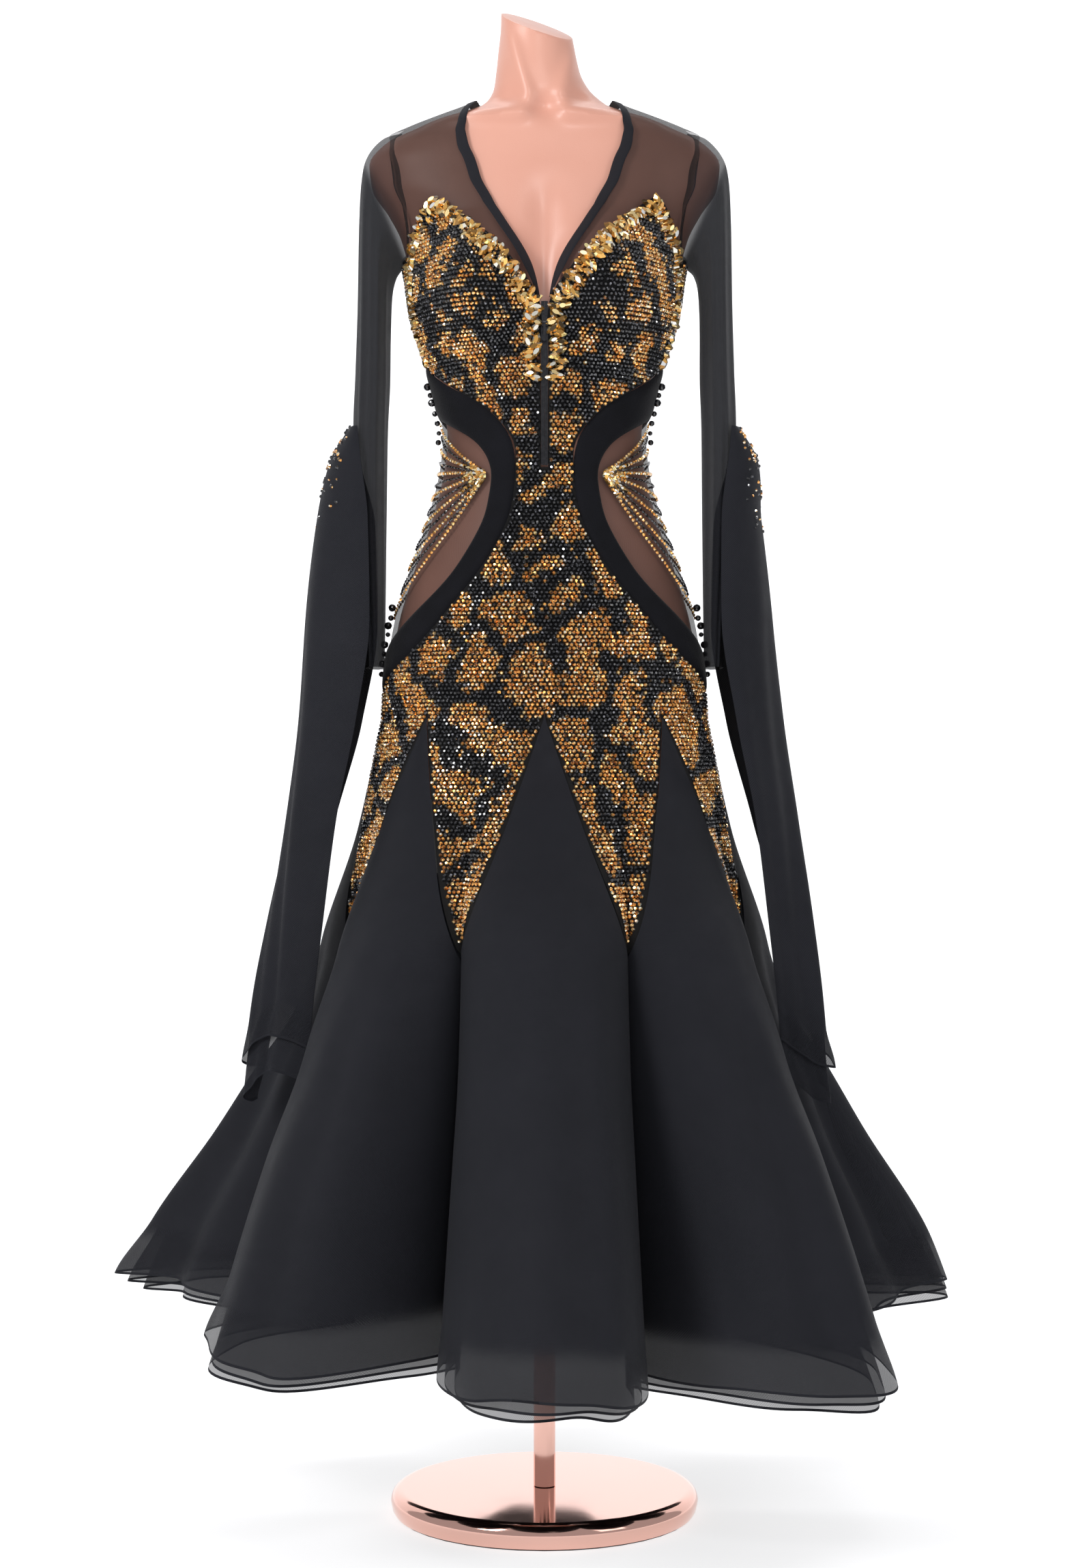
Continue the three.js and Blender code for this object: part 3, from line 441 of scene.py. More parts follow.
class Finish:
    def __init__(self, name, **fixed):
        self.material = bpy.data.materials.new(name)
        self.material.use_nodes = True
        self.tree = self.material.node_tree
        self.shader = self.tree.nodes["Principled BSDF"]
        self.set(**fixed)

    def set(self, **sockets):
        for name, value in sockets.items():
            self.feed(self.shader.inputs[name.replace("_", " ").title().replace("Ior", "IOR")], value)

    def feed(self, socket, value):
        if isinstance(value, Socket):
            self.tree.links.new(value.socket, socket)
        else:
            socket.default_value = value

    def node(self, kind, settings=None, sockets=None, output=0):
        node = self.tree.nodes.new("ShaderNode" + kind)
        for name, value in (settings or {}).items():
            if name == "stops":
                ramp = node.color_ramp.elements
                while len(ramp) < len(value):
                    ramp.new(0.5)
                for stop, (place, colour) in zip(ramp, value):
                    stop.position, stop.color = place, colour
            else:
                setattr(node, name, value)
        for name, value in (sockets or {}).items():
            self.feed(node.inputs[name], value)
        return Socket(self, node.outputs[output])

    def noise(self, scale, detail=3, vector=None):
        place = vector or self.node("TexCoord", output=3)
        return self.node("TexNoise", None, {"Vector": place, "Scale": scale, "Detail": detail})

    def blend(self, factor, first, second):
        return self.node("Mix", {"data_type": "RGBA"}, {0: factor, 6: first, 7: second}, output=2)

    def spread(self, value, low, high):
        return self.node("MapRange", None, {"Value": value, "To Min": low, "To Max": high})

    def raised(self, height, distance, strength=1.0):
        bump_node = self.node("Bump", None, {"Height": height, "Distance": distance, "Strength": strength})
        self.set(normal=bump_node)

    def weave(self, pitch):
        """Threads along the cloth's two directions, from the panel's own UV map in millimetres."""
        uv = self.node("UVMap", {"uv_map": "cloth"})
        along = self.node("SeparateXYZ", None, {0: uv})
        across = Socket(self, along.socket.node.outputs[1])
        turn = 2 * math.pi / pitch
        return (along * turn).maths("SINE") * (across * turn).maths("SINE")

    def from_hem(self):
        uv = self.node("UVMap", {"uv_map": "cloth"})
        return self.node("SeparateXYZ", None, {0: uv}, output=1)


def dress_in(piece, finish):
    piece.data.materials.clear()
    piece.data.materials.append(finish.material)


# %% [markdown]
# The stand and the form. Rose gold plate is a polished metal: almost no roughness, and only a little
# unevenness where it has been wiped. The form is a satin plastic shell in blush pink, a touch deeper in
# patches, with a fine skin texture that catches the light.

# %% Finishes of the stand and the form
rose_gold = Finish("rose gold", base_color=(0.83, 0.50, 0.42, 1), metallic=1.0)
rose_gold.set(roughness=rose_gold.spread(rose_gold.noise(30), 0.05, 0.13))

blush = Finish("blush shell", coat_weight=0.15, coat_roughness=0.25, specular_ior_level=0.4)
patches = blush.noise(9)
blush.set(base_color=blush.blend(patches, (0.72, 0.365, 0.275, 1), (0.64, 0.305, 0.225, 1)))
blush.set(roughness=blush.spread(blush.noise(60), 0.36, 0.46))
blush.raised(blush.noise(900, 2), 0.00008)

steel = Finish("plain steel", metallic=1.0, base_color=(0.55, 0.56, 0.58, 1))
steel.set(roughness=steel.spread(steel.noise(200), 0.25, 0.42))
rubber = Finish("black rubber", base_color=(0.02, 0.02, 0.022, 1))
rubber.set(roughness=rubber.spread(rubber.noise(300), 0.6, 0.85))
rubber.raised(rubber.noise(700), 0.0002)

# %% [markdown]
# The gown's cloths. Chiffon is thin and nearly black, with a soft bloom at glancing angles, and the
# lowest band of it turns sheer because only the rolled edge and a net of stiff horsehair lie behind it.
# Velvet gets its depth from the pile, which the sheen stands for. Stretch mesh is the same black yarn
# with open holes, so it is part see-through: denser where it hangs empty, thinner where it is stretched
# over the form.

# %% Finishes of the cloth
def chiffon_finish(name, whole, sheer, sheer_height, edge=2.6):
    finish = Finish(name, sheen_weight=0.03, sheen_roughness=0.4, specular_ior_level=0.15)
    tone = finish.noise(14)
    finish.set(base_color=finish.blend(tone, (0.0105, 0.011, 0.0145, 1), (0.0155, 0.016, 0.021, 1)))
    finish.set(roughness=finish.spread(finish.noise(55), 0.62, 0.8))
    height = finish.from_hem()
    ramp = finish.node("MapRange", {"interpolation_type": "SMOOTHSTEP"}, {
        "Value": height, "From Min": sheer_height * 0.75, "From Max": sheer_height * 1.35,
        "To Min": sheer, "To Max": whole,
    })
    net = finish.weave(2.4)
    rolled = height < edge
    openness = (ramp + net * 0.07).maths("MINIMUM", 1.0)
    finish.set(alpha=openness.maths("MAXIMUM", rolled))
    finish.raised(finish.weave(0.9) + finish.noise(160) * 0.6, 0.00012, 0.6)
    return finish


chiffon = chiffon_finish("chiffon", 0.99, 0.82, 45)
under_chiffon = chiffon_finish("under chiffon", 0.93, 0.66, 60)
float_chiffon = chiffon_finish("float chiffon", 0.97, 0.86, 30)

velvet = Finish("velvet", sheen_weight=0.12, sheen_roughness=0.35, specular_ior_level=0.1)
nap = velvet.noise(38)
velvet.set(base_color=velvet.blend(nap, (0.0035, 0.0036, 0.0045, 1), (0.010, 0.010, 0.013, 1)))
velvet.set(roughness=velvet.spread(nap, 0.8, 1.0))
velvet.raised(velvet.noise(900, 4), 0.0005)


def mesh_finish(name, cover, colour):
    finish = Finish(name, sheen_weight=0.03, specular_ior_level=0.15)
    tone = finish.noise(20)
    lighter = tuple(c * 1.35 for c in colour[:3]) + (1,)
    finish.set(base_color=finish.blend(tone, colour, lighter))
    finish.set(roughness=finish.spread(finish.noise(80), 0.6, 0.8))
    net = finish.weave(1.1)
    finish.set(alpha=(net * 0.10 + (tone - 0.5) * 0.10 + cover).maths("MINIMUM", 1.0))
    finish.raised(net, 0.0002, 0.5)
    return finish


stretched_mesh = mesh_finish("stretched mesh", 0.63, (0.010, 0.0085, 0.009, 1))
window_mesh = mesh_finish("window mesh", 0.56, (0.010, 0.008, 0.008, 1))
hanging_mesh = mesh_finish("hanging mesh", 0.86, (0.009, 0.0095, 0.0125, 1))
# where the sleeve is stretched over the shoulder its mesh is as thin as the yoke's
spot = hanging_mesh.node("SeparateXYZ", None, {0: hanging_mesh.node("TexCoord", output=3)})
side_place = spot.maths("ABSOLUTE")
up_place = Socket(hanging_mesh, spot.socket.node.outputs[2])
edge_height = side_place * 2.26 + (1.266 - 0.144 * 2.26)
over_form = hanging_mesh.node("MapRange", {"interpolation_type": "SMOOTHSTEP"}, {
    "Value": up_place - edge_height, "From Min": -0.004, "From Max": 0.016, "To Min": 0.88, "To Max": 0.63,
})
hanging_mesh.set(alpha=(over_form + hanging_mesh.weave(1.1) * 0.06).maths("MINIMUM", 1.0))

stretch_cloth = Finish("black stretch cloth", sheen_weight=0.02, specular_ior_level=0.2)
stretch_cloth.set(
    base_color=stretch_cloth.blend(
        stretch_cloth.noise(60), (0.006, 0.006, 0.007, 1), (0.014, 0.013, 0.013, 1),
    )
)
stretch_cloth.set(roughness=stretch_cloth.spread(stretch_cloth.noise(200), 0.6, 0.9))
stretch_cloth.raised(stretch_cloth.weave(0.8), 0.0003)

zip_metal = Finish("black zip metal", metallic=0.9)
zip_metal.set(
    base_color=zip_metal.blend(zip_metal.noise(400), (0.02, 0.02, 0.022, 1), (0.06, 0.06, 0.065, 1))
)
zip_metal.set(roughness=zip_metal.spread(zip_metal.noise(300), 0.2, 0.4))

# %% [markdown]
# A glued stone is foiled glass: a mirror behind cut faces. Each face of a real one shows its own bit of
# the room, from white through amber to almost black. Here that is painted: each face of the cut carries a
# colour written on the mesh as an attribute, the stone's own amber or black mixed with painted white
# highlights and painted dark reflections, and the faces are flat and shiny.

# %% Finish of the stones
def stone_finish(name, metallic, low, high):
    finish = Finish(name, metallic=metallic, coat_weight=0.6, coat_roughness=0.03, specular_ior_level=0.7)
    # the colour of each face: the stone's own colour, or a painted highlight or painted reflection
    colour = finish.node("Attribute", {"attribute_name": "facet"})
    finish.set(base_color=colour, roughness=finish.spread(finish.noise(900), low, high))
    return finish


gold_stone = stone_finish("gold stone", 0.75, 0.10, 0.22)
jet_stone = stone_finish("jet stone", 0.0, 0.06, 0.14)

# %% [markdown]
# The disc and the pole are turned parts, so each is one profile spun round the axis. The disc's rim is
# rounded, and its top is dead flat so that it mirrors the pole.

# %% Base disc and pole
BASE_RADIUS, BASE_HEIGHT, BASE_EDGE = 155, 26, 12
POLE_RADIUS, POLE_TOP = 11, 500


def spun(name, profile, body, steps=128, smooth=True):
    bm = bmesh.new()
    points = [bm.verts.new((r * MM, 0, z * MM)) for r, z in profile]
    edges = [bm.edges.new(pair) for pair in zip(points, points[1:])]
    bmesh.ops.spin(
        bm, geom=points + edges, cent=(0, 0, 0), axis=(0, 0, 1), angle=2 * math.pi, steps=steps,
        use_merge=True,
    )
    bmesh.ops.remove_doubles(bm, verts=bm.verts, dist=1e-6)
    bmesh.ops.recalc_face_normals(bm, faces=bm.faces)
    return finish_object(bm, name, body, smooth)


rim = [
    (BASE_RADIUS - BASE_EDGE + BASE_EDGE * math.sin(a), BASE_HEIGHT - BASE_EDGE + BASE_EDGE * math.cos(a))
    for a in np.linspace(0, math.pi / 2, 12)
]
base_profile = [
    (5.5, BASE_HEIGHT), *rim, (BASE_RADIUS - 1.5, 6), (BASE_RADIUS - 4, 1.8), (BASE_RADIUS - 6, 1.8),
    (BASE_RADIUS - 3.5, 14), (BASE_RADIUS - 12, 24), (5.5, 24), (5.5, BASE_HEIGHT),
]
disc = spun("base_disc", base_profile, "stand")
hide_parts("base_cover")
edge_split = disc.modifiers.new("crisp edges", "EDGE_SPLIT")
edge_split.split_angle = math.radians(35)
dress_in(disc, rose_gold)

pole_profile = [
    (5.4, 26.4), (POLE_RADIUS - 0.4, 26.4), (POLE_RADIUS, 26.8), (POLE_RADIUS, POLE_TOP - 0.5),
    (POLE_RADIUS - 0.4, POLE_TOP), (9.5, POLE_TOP), (9.5, 70), (5.4, 70), (5.4, 26.4),
]
pole = spun("pole", pole_profile, "stand", 96)
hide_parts("pole_tube")
edge_split = pole.modifiers.new("crisp edges", "EDGE_SPLIT")
edge_split.split_angle = math.radians(35)
dress_in(pole, rose_gold)

# %% [markdown]
# The form starts as an open tube of many rings, and each ring is pushed out to the form's own oval. The
# neck is sliced by one slanted plane and capped. Smoothing a single solid shell keeps the light soft on
# it, as on a polished moulding.

# %% The form
NECK_CUT_HEIGHT, NECK_CUT_SIDE, NECK_CUT_FRONT = 1501, 19, 20
TORSO_BOTTOM = 720


def modelled(angle, z):
    """The form with collarbones, neck tendons and the hollow of the chest."""
    p = form_point(angle, z)
    x, y = p[..., 0], p[..., 1]
    front = (y < 0).astype(float)
    side = np.abs(x)
    bone_height = 1402 - 0.00035 * (side - 20) ** 2
    bone = bump(z, bone_height, 8) * smooth_step(side, 8, 24) * (1 - smooth_step(side, 105, 135))
    above_bone = bump(z, bone_height + 15, 9) * smooth_step(side, 18, 40) * (1 - smooth_step(side, 70, 100))
    notch = bump(x, 0, 11) * bump(z, 1408, 11)
    tendon = bump(side, 13 + 0.32 * (z - 1410), 8) * smooth_step(z, 1405, 1425) * (
        1 - smooth_step(z, 1480, 1510)
    )
    hollow = 1.7 * bump(x, 0, 17) * smooth_step(z, 1180, 1235) * (1 - smooth_step(z, 1290, 1350))
    y = y + front * (-7.0 * bone + 5.5 * above_bone + 8 * notch - 5.5 * tendon + 4.5 * hollow)
    return np.stack([x, y, p[..., 2]], -1)


bm = bmesh.new()
bmesh.ops.create_cone(bm, cap_ends=True, segments=160, radius1=1, radius2=1, depth=1)
bmesh.ops.subdivide_edges(
    bm, edges=[e for e in bm.edges if abs(e.verts[0].co.z - e.verts[1].co.z) > 0.5], cuts=170,
    use_grid_fill=False,
)
flat = np.array([v.co for v in bm.verts])
ring_height = TORSO_BOTTOM + (flat[:, 2] + 0.5) * (1555 - TORSO_BOTTOM)
ring_angle = np.degrees(np.arctan2(flat[:, 0], -flat[:, 1]))
for vertex, point in zip(bm.verts, modelled(ring_angle, ring_height)):
    vertex.co = Vector(point * MM)
tilt_side, tilt_front = math.radians(NECK_CUT_SIDE), math.radians(NECK_CUT_FRONT)
cut_normal = Vector((
    math.sin(tilt_side) * math.cos(tilt_front), -math.sin(tilt_front),
    math.cos(tilt_side) * math.cos(tilt_front),
))
cut = bmesh.ops.bisect_plane(
    bm, geom=bm.verts[:] + bm.edges[:] + bm.faces[:], plane_co=(-8 * MM, 0, NECK_CUT_HEIGHT * MM),
    plane_no=cut_normal, clear_outer=True,
)
rim_edges = [e for e in cut["geom_cut"] if isinstance(e, bmesh.types.BMEdge)]
cap = bmesh.ops.contextual_create(bm, geom=rim_edges)["faces"]
bmesh.ops.inset_region(bm, faces=cap, thickness=0.0012, depth=0.0006)
bmesh.ops.recalc_face_normals(bm, faces=bm.faces)
form = finish_object(bm, "form_shell", "form")
edge_split = form.modifiers.new("crisp cut", "EDGE_SPLIT")
edge_split.split_angle = math.radians(38)
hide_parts("torso")
dress_in(form, blush)
print("form", len(form.data.polygons), "faces")

# %% [markdown]
# The upper part of the gown. The stones sit on black stretch cloth, so the bodice is a left and a right
# front panel and one back panel. The yoke is a single layer of stretched mesh from the neck binding to
# the bodice and the armholes. A velvet band runs right round each side window.

# %% Bodice, bands and windows
sides = (("left", lambda curve: curve), ("right", mirrored))
back_edge = seam([
    (164.6, WAIST_SEAM), (162, 1074), (148, 1104), (126, 1130), (102, 1154), (84, 1160), (79, 1175),
    (79, 1200),
    (75, 1240), (76, 1262),
])


def other_side(curve):
    return lambda v: (360, 0) + curve(v) * (-1, 1)


upper_cloths = []
for side, turned in sides:
    bodice = cloth(
        "bodice_cloth_" + side, between(turned(cup_inner), turned(cup_outer), -1.2), 30, 90, "form",
    )
    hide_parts("bodice_" + side)
    dress_in(bodice, stretch_cloth)
    window = cloth(
        "window_" + side, between(turned(band_outer), turned(behind(band_outer)), -1.8), 40, 50, "form",
    )
    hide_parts("side_window_" + side)
    dress_in(window, window_mesh)
    upper_cloths += [bodice, window]

back = cloth("back_cloth", between(back_edge, other_side(back_edge), -1.2), 90, 70, "form")
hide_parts("back_bodice")
dress_in(back, stretch_cloth)
upper_cloths.append(back)

# %% [markdown]
# Velvet is thick beside the mesh, so the bands stand a little proud, with rolled edges. Each band is one
# strip whose cross section is a low arch: the lift rises quickly from the edge and stays flat.

# %% Velvet bands
def arched(left, right, height):
    def place(u, v):
        start, end = left(v), right(v)
        spot = start + (end - start) * u[:, None]
        arch = 1 - np.abs(2 * u - 1) ** 6
        face = on_gown(spot[:, 0], spot[:, 1], 0)
        return face + (height * arch - 1.4)[:, None] * outward(gown_face, spot[:, 0], spot[:, 1])

    return place


for side, turned in sides:
    for half, around in (("front", lambda curve: curve), ("back", behind)):
        inner, outer = turned(around(band_inner)), turned(around(band_outer))
        band = cloth(f"velvet_{half}_{side}", arched(inner, outer, 3.0), 14, 120, "form")
        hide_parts(f"velvet_band_{half}_{side}")
        dress_in(band, velvet)
        upper_cloths.append(band)

# %% [markdown]
# The yoke's outer edge follows the bodice, then the armhole, then the shoulder. The back of the yoke is
# one piece from armhole to armhole. The binding round the neck is a folded strip with a rounded face.

# %% Yoke and neck binding
armhole_front = seam([(74, 1262), (66, 1280), (61, 1305), (58, 1330), (58, 1355), (66, 1376), (90, 1391)])
armhole_back = seam([(90, 1264), (112, 1282), (120, 1305), (124, 1330), (124, 1355), (114, 1376), (90, 1391)])
neck_back = seam([(90, SHOULDER_NECK), (120, SHOULDER_NECK), (150, SHOULDER_NECK), (180, SHOULDER_NECK)])
BINDING = 7.5


def neck_edge(out):
    """The binding's edge, out millimetres below the neckline, from the V over the shoulder to the back."""
    whole = joined((neck_line, 0.62), (neck_back, 1.0))

    def read(v):
        v = np.asarray(v, float)
        spot = whole(v).copy()
        opening = smooth_step(v, 0, 0.10)
        round_back = smooth_step(v, 0.36, 0.6)
        spot[..., 0] += (1 - round_back) * 0.45 * out * (0.3 + 0.7 * opening)
        spot[..., 1] -= out * ((1 - round_back) * 0.2 * opening + round_back * 0.5)
        return spot

    return read


yoke_inner = joined(
    (part_of(neck_edge(BINDING), 0, 0.372), 0.42), (part_of(neck_edge(BINDING), 0.372, 0.62), 1.0),
)
yoke_outer = joined(
    (part_of(cup_inner, 0.375, 1.0), 0.42), (part_of(cup_outer, 1.0, 0.8), 0.60), (armhole_front, 1.0)
)
back_yoke_edge = joined(
    (armhole_back, 0.7),
    (lambda v: np.stack([np.full_like(v, 90.0), 1391 + v * (SHOULDER_NECK - BINDING / 2 - 1391)], -1), 1.0)
)
for side, turned in sides:
    yoke = cloth(
        "yoke_mesh_" + side, between(turned(yoke_inner), turned(yoke_outer), -1.6), 40, 120, "form",
    )
    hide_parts("yoke_front_" + side)
    dress_in(yoke, stretched_mesh)
    binding = cloth(
        "binding_" + side, arched(turned(neck_edge(-0.4)), turned(neck_edge(BINDING + 0.6)), 0.7), 10, 160,
        "form",
    )
    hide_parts("neck_binding_" + side)
    dress_in(binding, chiffon_finish("neck binding " + side, 1.0, 1.0, 1))
    upper_cloths += [yoke, binding]
back_yoke = cloth(
    "yoke_mesh_back", between(back_yoke_edge, other_side(back_yoke_edge), -1.6), 90, 60, "form",
)
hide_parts("yoke_back")
dress_in(back_yoke, stretched_mesh)
upper_cloths.append(back_yoke)
for piece in upper_cloths:
    declare_cloth(piece)

# %% [markdown]
# The stoned gores of the hip hang between the godets and end in long points. Each godet starts as a
# point at the hip and is as wide as its share of the circle from the gores' tips down.

# %% Hip gores
def godet_half(z):
    down = np.clip((HIP_LINE - np.asarray(z, float)) / (HIP_LINE - POINT_HEIGHT), 0, 1)
    return np.maximum(0.35, PITCH / 2 * down**0.92)


BAND_SPLIT, BAND_CROSSING = 0.455, 0.82
crossing_height = float(band_inner(BAND_CROSSING)[1])


def line(start, end):
    return lambda v: np.array(start) + (np.array(end) - start) * np.asarray(v, float)[..., None]


def godet_side(edge, away):
    def read(v):
        z = HIP_LINE + (POINT_HEIGHT - HIP_LINE) * np.asarray(v, float)
        return np.stack([edge + away * godet_half(z), z], -1)

    return read


gore_names = ("front", "side_front", "side_back", "back")
hip_cloths = []
for i, gore_name in enumerate(gore_names):
    low, high = i * PITCH, (i + 1) * PITCH
    band = band_inner if i < 2 else behind(band_inner)
    if i in (0, 3):
        middle = line((0 if i == 0 else 180, WAIST_SEAM), (0 if i == 0 else 180, HIP_LINE))
        beside = joined(
            (part_of(band, BAND_SPLIT, BAND_CROSSING), 0.72),
            (line((45 if i == 0 else 135, crossing_height), (45 if i == 0 else 135, HIP_LINE)), 1.0),
        )
        edges = (middle, beside) if i == 0 else (beside, middle)
    else:
        at_side = joined((part_of(band, BAND_CROSSING, 1.0), 0.6), (line((90, 826), (90, HIP_LINE)), 1.0))
        princess = line((45 if i == 1 else 135, crossing_height), (45 if i == 1 else 135, HIP_LINE))
        edges = (princess, at_side) if i == 1 else (at_side, princess)
    left = joined((edges[0], 0.5), (godet_side(low, 1), 1.0))
    right = joined((edges[1], 0.5), (godet_side(high, -1), 1.0))
    for side, turned in sides:
        gore = cloth(
            f"gore_{gore_name}_{side}", between(turned(left), turned(right), -1.2), 24, 96, "form",
        )
        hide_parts(f"hip_gore_{gore_name}_{side}")
        dress_in(gore, stretch_cloth)
        hip_cloths.append(gore)
for piece in hip_cloths:
    declare_cloth(piece)

# %% [markdown]
# The godets. Each is one piece of chiffon, cut like a petal, and the skirt's two under layers hang a
# little inside it and a little lower, so that three fine edges show at the hem. The hem is lowest in
# front and rises a little towards the sides.

# %% Chiffon skirt
GODET_NAMES = ("front", "front_left", "left", "back_left", "back", "back_right", "right", "front_right")


def hem_height(angle, drop):
    turn = np.radians(angle)
    return (
        HEM_HEIGHT + 6 - drop + 40 * np.sin(turn) ** 2 + 5 * np.sin(3 * turn + 0.6)
        + 4 * np.sin(8 * turn + 2) + 4 * np.sin(13 * turn + 1) - 34 * bump(turn, 0.72, 0.5)
    )


def godet_place(middle, layer, top, drop):
    def place(u, v):
        z = top + (hem_height(middle, drop) - top) * v
        half = godet_half(z) if layer == 0 else np.full_like(z, PITCH / 2)
        angle = middle + (2 * u - 1) * half
        z = top + (hem_height(angle, drop) - top) * v
        curl = smooth_step(z, hem_height(angle, drop) + 55, hem_height(angle, drop))
        points = skirt_point(angle, z, layer)
        out = points * (1, 1, 0)
        out /= np.linalg.norm(out, axis=-1, keepdims=True)
        wave = np.sin(np.radians(angle) * 19 + layer * 1.7) + 0.6 * np.sin(np.radians(angle) * 31 + layer)
        return points + out * (curl * (5 + 4.5 * wave))[:, None]

    return place


skirt_layers = []
for i, godet_name in enumerate(GODET_NAMES):
    godet = cloth(
        "godet_cloth_" + godet_name, godet_place(i * PITCH, 0, HIP_LINE, 0), 72, 150, "form",
    )
    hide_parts("godet_" + godet_name)
    dress_in(godet, chiffon)
    skirt_layers.append(godet)
    for layer, top, drop in ((1, 640, 9), (2, 620, 17)):
        under = cloth(
            f"under_layer_{layer}_{godet_name}", godet_place(i * PITCH, layer, top, drop), 64, 80, "form",
        )
        dress_in(under, under_chiffon)
        skirt_layers.append(under)
quarters = ("front_left", "back_left", "back_right", "front_right")
for i, quarter in enumerate(quarters):
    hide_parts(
        "underskirt_" + quarter,
    )
for piece in skirt_layers:
    declare_cloth(piece)

# %% [markdown]
# An empty mesh sleeve hangs nearly flat. Its outline is drawn as two curves seen from the front, one down
# the outside and one down the inside, and each ring of the tube joins them. Its top ring is the armhole,
# so the sleeve's head turns from the side of the shoulder to straight down.

# %% Sleeves
sleeve_out = seam([
    (144, 1392), (163, 1386), (179, 1368), (185, 1345), (187, 1300), (188, 1220), (190, 1150),
    (192, 1090), (190, 1000), (183, 905), (180, 852),
])
sleeve_in = seam([
    (134, 1262), (139, 1259), (145, 1254), (151, 1246), (155, 1229), (156.5, 1190), (157, 1140),
    (159, 1090), (160, 1000), (161, 905), (162, 852),
])
sleeve_depth = seam(
    [(0, 38), (0, 43), (0, 46), (0, 47), (0, 47), (0, 46), (0, 45), (0, 43), (0, 41), (0, 38), (0, 36)]
)


def sleeve_place(sign):
    def place(u, v):
        turn = 2 * math.pi * u
        out, inner, depth = sleeve_out(v), sleeve_in(v), sleeve_depth(v)[:, 1]
        loose = smooth_step(v, 0.15, 0.5)
        fold = 1 + loose * (
            0.05 * np.sin(7 * turn + 1.3 + 2 * v) + 0.035 * np.sin(11 * turn + 3 * sign + 4 * v)
        )
        across = np.cos(turn) * (1 + loose * 0.10 * np.sin(5 * turn + sign + 3 * v))
        middle = (out + inner) / 2 + (out - inner) / 2 * across[:, None]
        return np.stack([sign * middle[:, 0], depth * fold * np.sin(turn), middle[:, 1]], -1)

    return place


def closed_tube(piece):
    bm = bmesh.new()
    bm.from_mesh(piece.data)
    bmesh.ops.remove_doubles(bm, verts=bm.verts, dist=1e-6)
    bmesh.ops.recalc_face_normals(bm, faces=bm.faces)
    bm.to_mesh(piece.data)
    bm.free()


for side, sign in (("left", 1), ("right", -1)):
    sleeve = cloth("sleeve_mesh_" + side, sleeve_place(sign), 120, 150, None)
    closed_tube(sleeve)
    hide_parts("sleeve_" + side, "sleeve_head_" + side)
    dress_in(sleeve, hanging_mesh)
    declare_cloth(sleeve)
    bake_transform(sleeve)

# %% [markdown]
# Each float is a long curtain of chiffon sewn round the outside of the sleeve at the elbow. It starts
# narrow, opens as it falls and ends in two loose corners. Two layers hang nearly together: the second is
# a little smaller and a little longer.

# %% Sleeve floats
float_section = table([
    (1092, 198.2, 186, 0, 44, 60),
    (1060, 217, 182, 0, 47, 80),
    (1000, 231, 174, 0, 50, 90),
    (900, 244, 172, 0, 52, 90),
    (800, 251, 185, -8, 50, 88),
    (700, 261, 203, -34, 43, 80),
    (600, 273, 214, -66, 30, 60),
    (520, 283, 222, -84, 24, 42),
    (430, 292, 228, -92, 22, 30),
])
FLOAT_TOP = 1092


def float_place(sign, reach, layer):
    def place(u, v):
        bottom = 474 - 34 * layer + 16 * np.sin(math.pi * 1.6 * u + 1.2 + sign)
        z = FLOAT_TOP + (bottom - FLOAT_TOP) * v
        outer, edge, middle, depth, back = np.moveaxis(float_section(z), -1, 0)
        turn = np.radians(-88 + (back + 88) * u)
        pull = reach + (1 - reach) * smooth_step(z, 1000, 1080)
        loose = smooth_step(z, 1080, 760)
        fold = 4.0 * np.sin(3.3 * u * math.pi + sign + 1.2 * v) + 1.2 * np.sin(8 * u * math.pi + 2 * v)
        curl = smooth_step(z, bottom + 40, bottom) * (5 + 5 * np.sin(5 * u + layer))
        out = (outer - edge) * pull - 2.5 * layer + loose * fold + curl
        x = edge + out * np.cos(turn) + loose * 0.6 * fold * np.abs(np.sin(turn))
        y = middle + (depth - 2.5 * layer + 0.5 * loose * fold) * np.sin(turn)
        return np.stack([sign * x, y, z], -1)

    return place


for side, sign, reach in (("left", 1, 0.8), ("right", -1, 1.0)):
    for layer in (0, 1):
        name = f"float_cloth_{side}" + ("" if layer == 0 else "_inner")
        curtain = cloth(name, float_place(sign, reach, layer), 80, 140, side + "_float")
        if layer == 0:
            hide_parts("float_" + side)
        dress_in(curtain, float_chiffon)
        declare_cloth(curtain)

# %% [markdown]
# The stones are set by hand in close rows, each one in the gap between two of the row above. The rows
# here run round the body, and each row is measured along its own oval so that the pitch stays true. A
# stone is kept where it and four points round it all lie on the stoned cloth.

# %% Where the stones go
STONE_PITCH = 4.45
STONE_WIDTH = 4.15


def inside(outline, angle, z):
    """True where (angle, z) is inside the closed outline."""
    result = np.zeros(angle.shape, bool)
    for (a0, z0), (a1, z1) in zip(outline, np.roll(outline, -1, axis=0)):
        crosses = (z0 > z) != (z1 > z)
        result ^= crosses & (angle < (a1 - a0) * (z - z0) / (z1 - z0 + 1e-12) + a0)
    return result


step = np.linspace(0, 1, 80)
bodice_outline = np.vstack([cup_inner(step), cup_outer(step)[::-1]])
back_outline = np.vstack([back_edge(step), [(181, 1262), (181, WAIST_SEAM)]])
hip_outline = np.vstack([
    [(-1, WAIST_SEAM)], part_of(band_inner, BAND_SPLIT, 1.0)(step),
    [(91, 826), (91, POINT_HEIGHT - 5), (-1, POINT_HEIGHT - 5)],
])


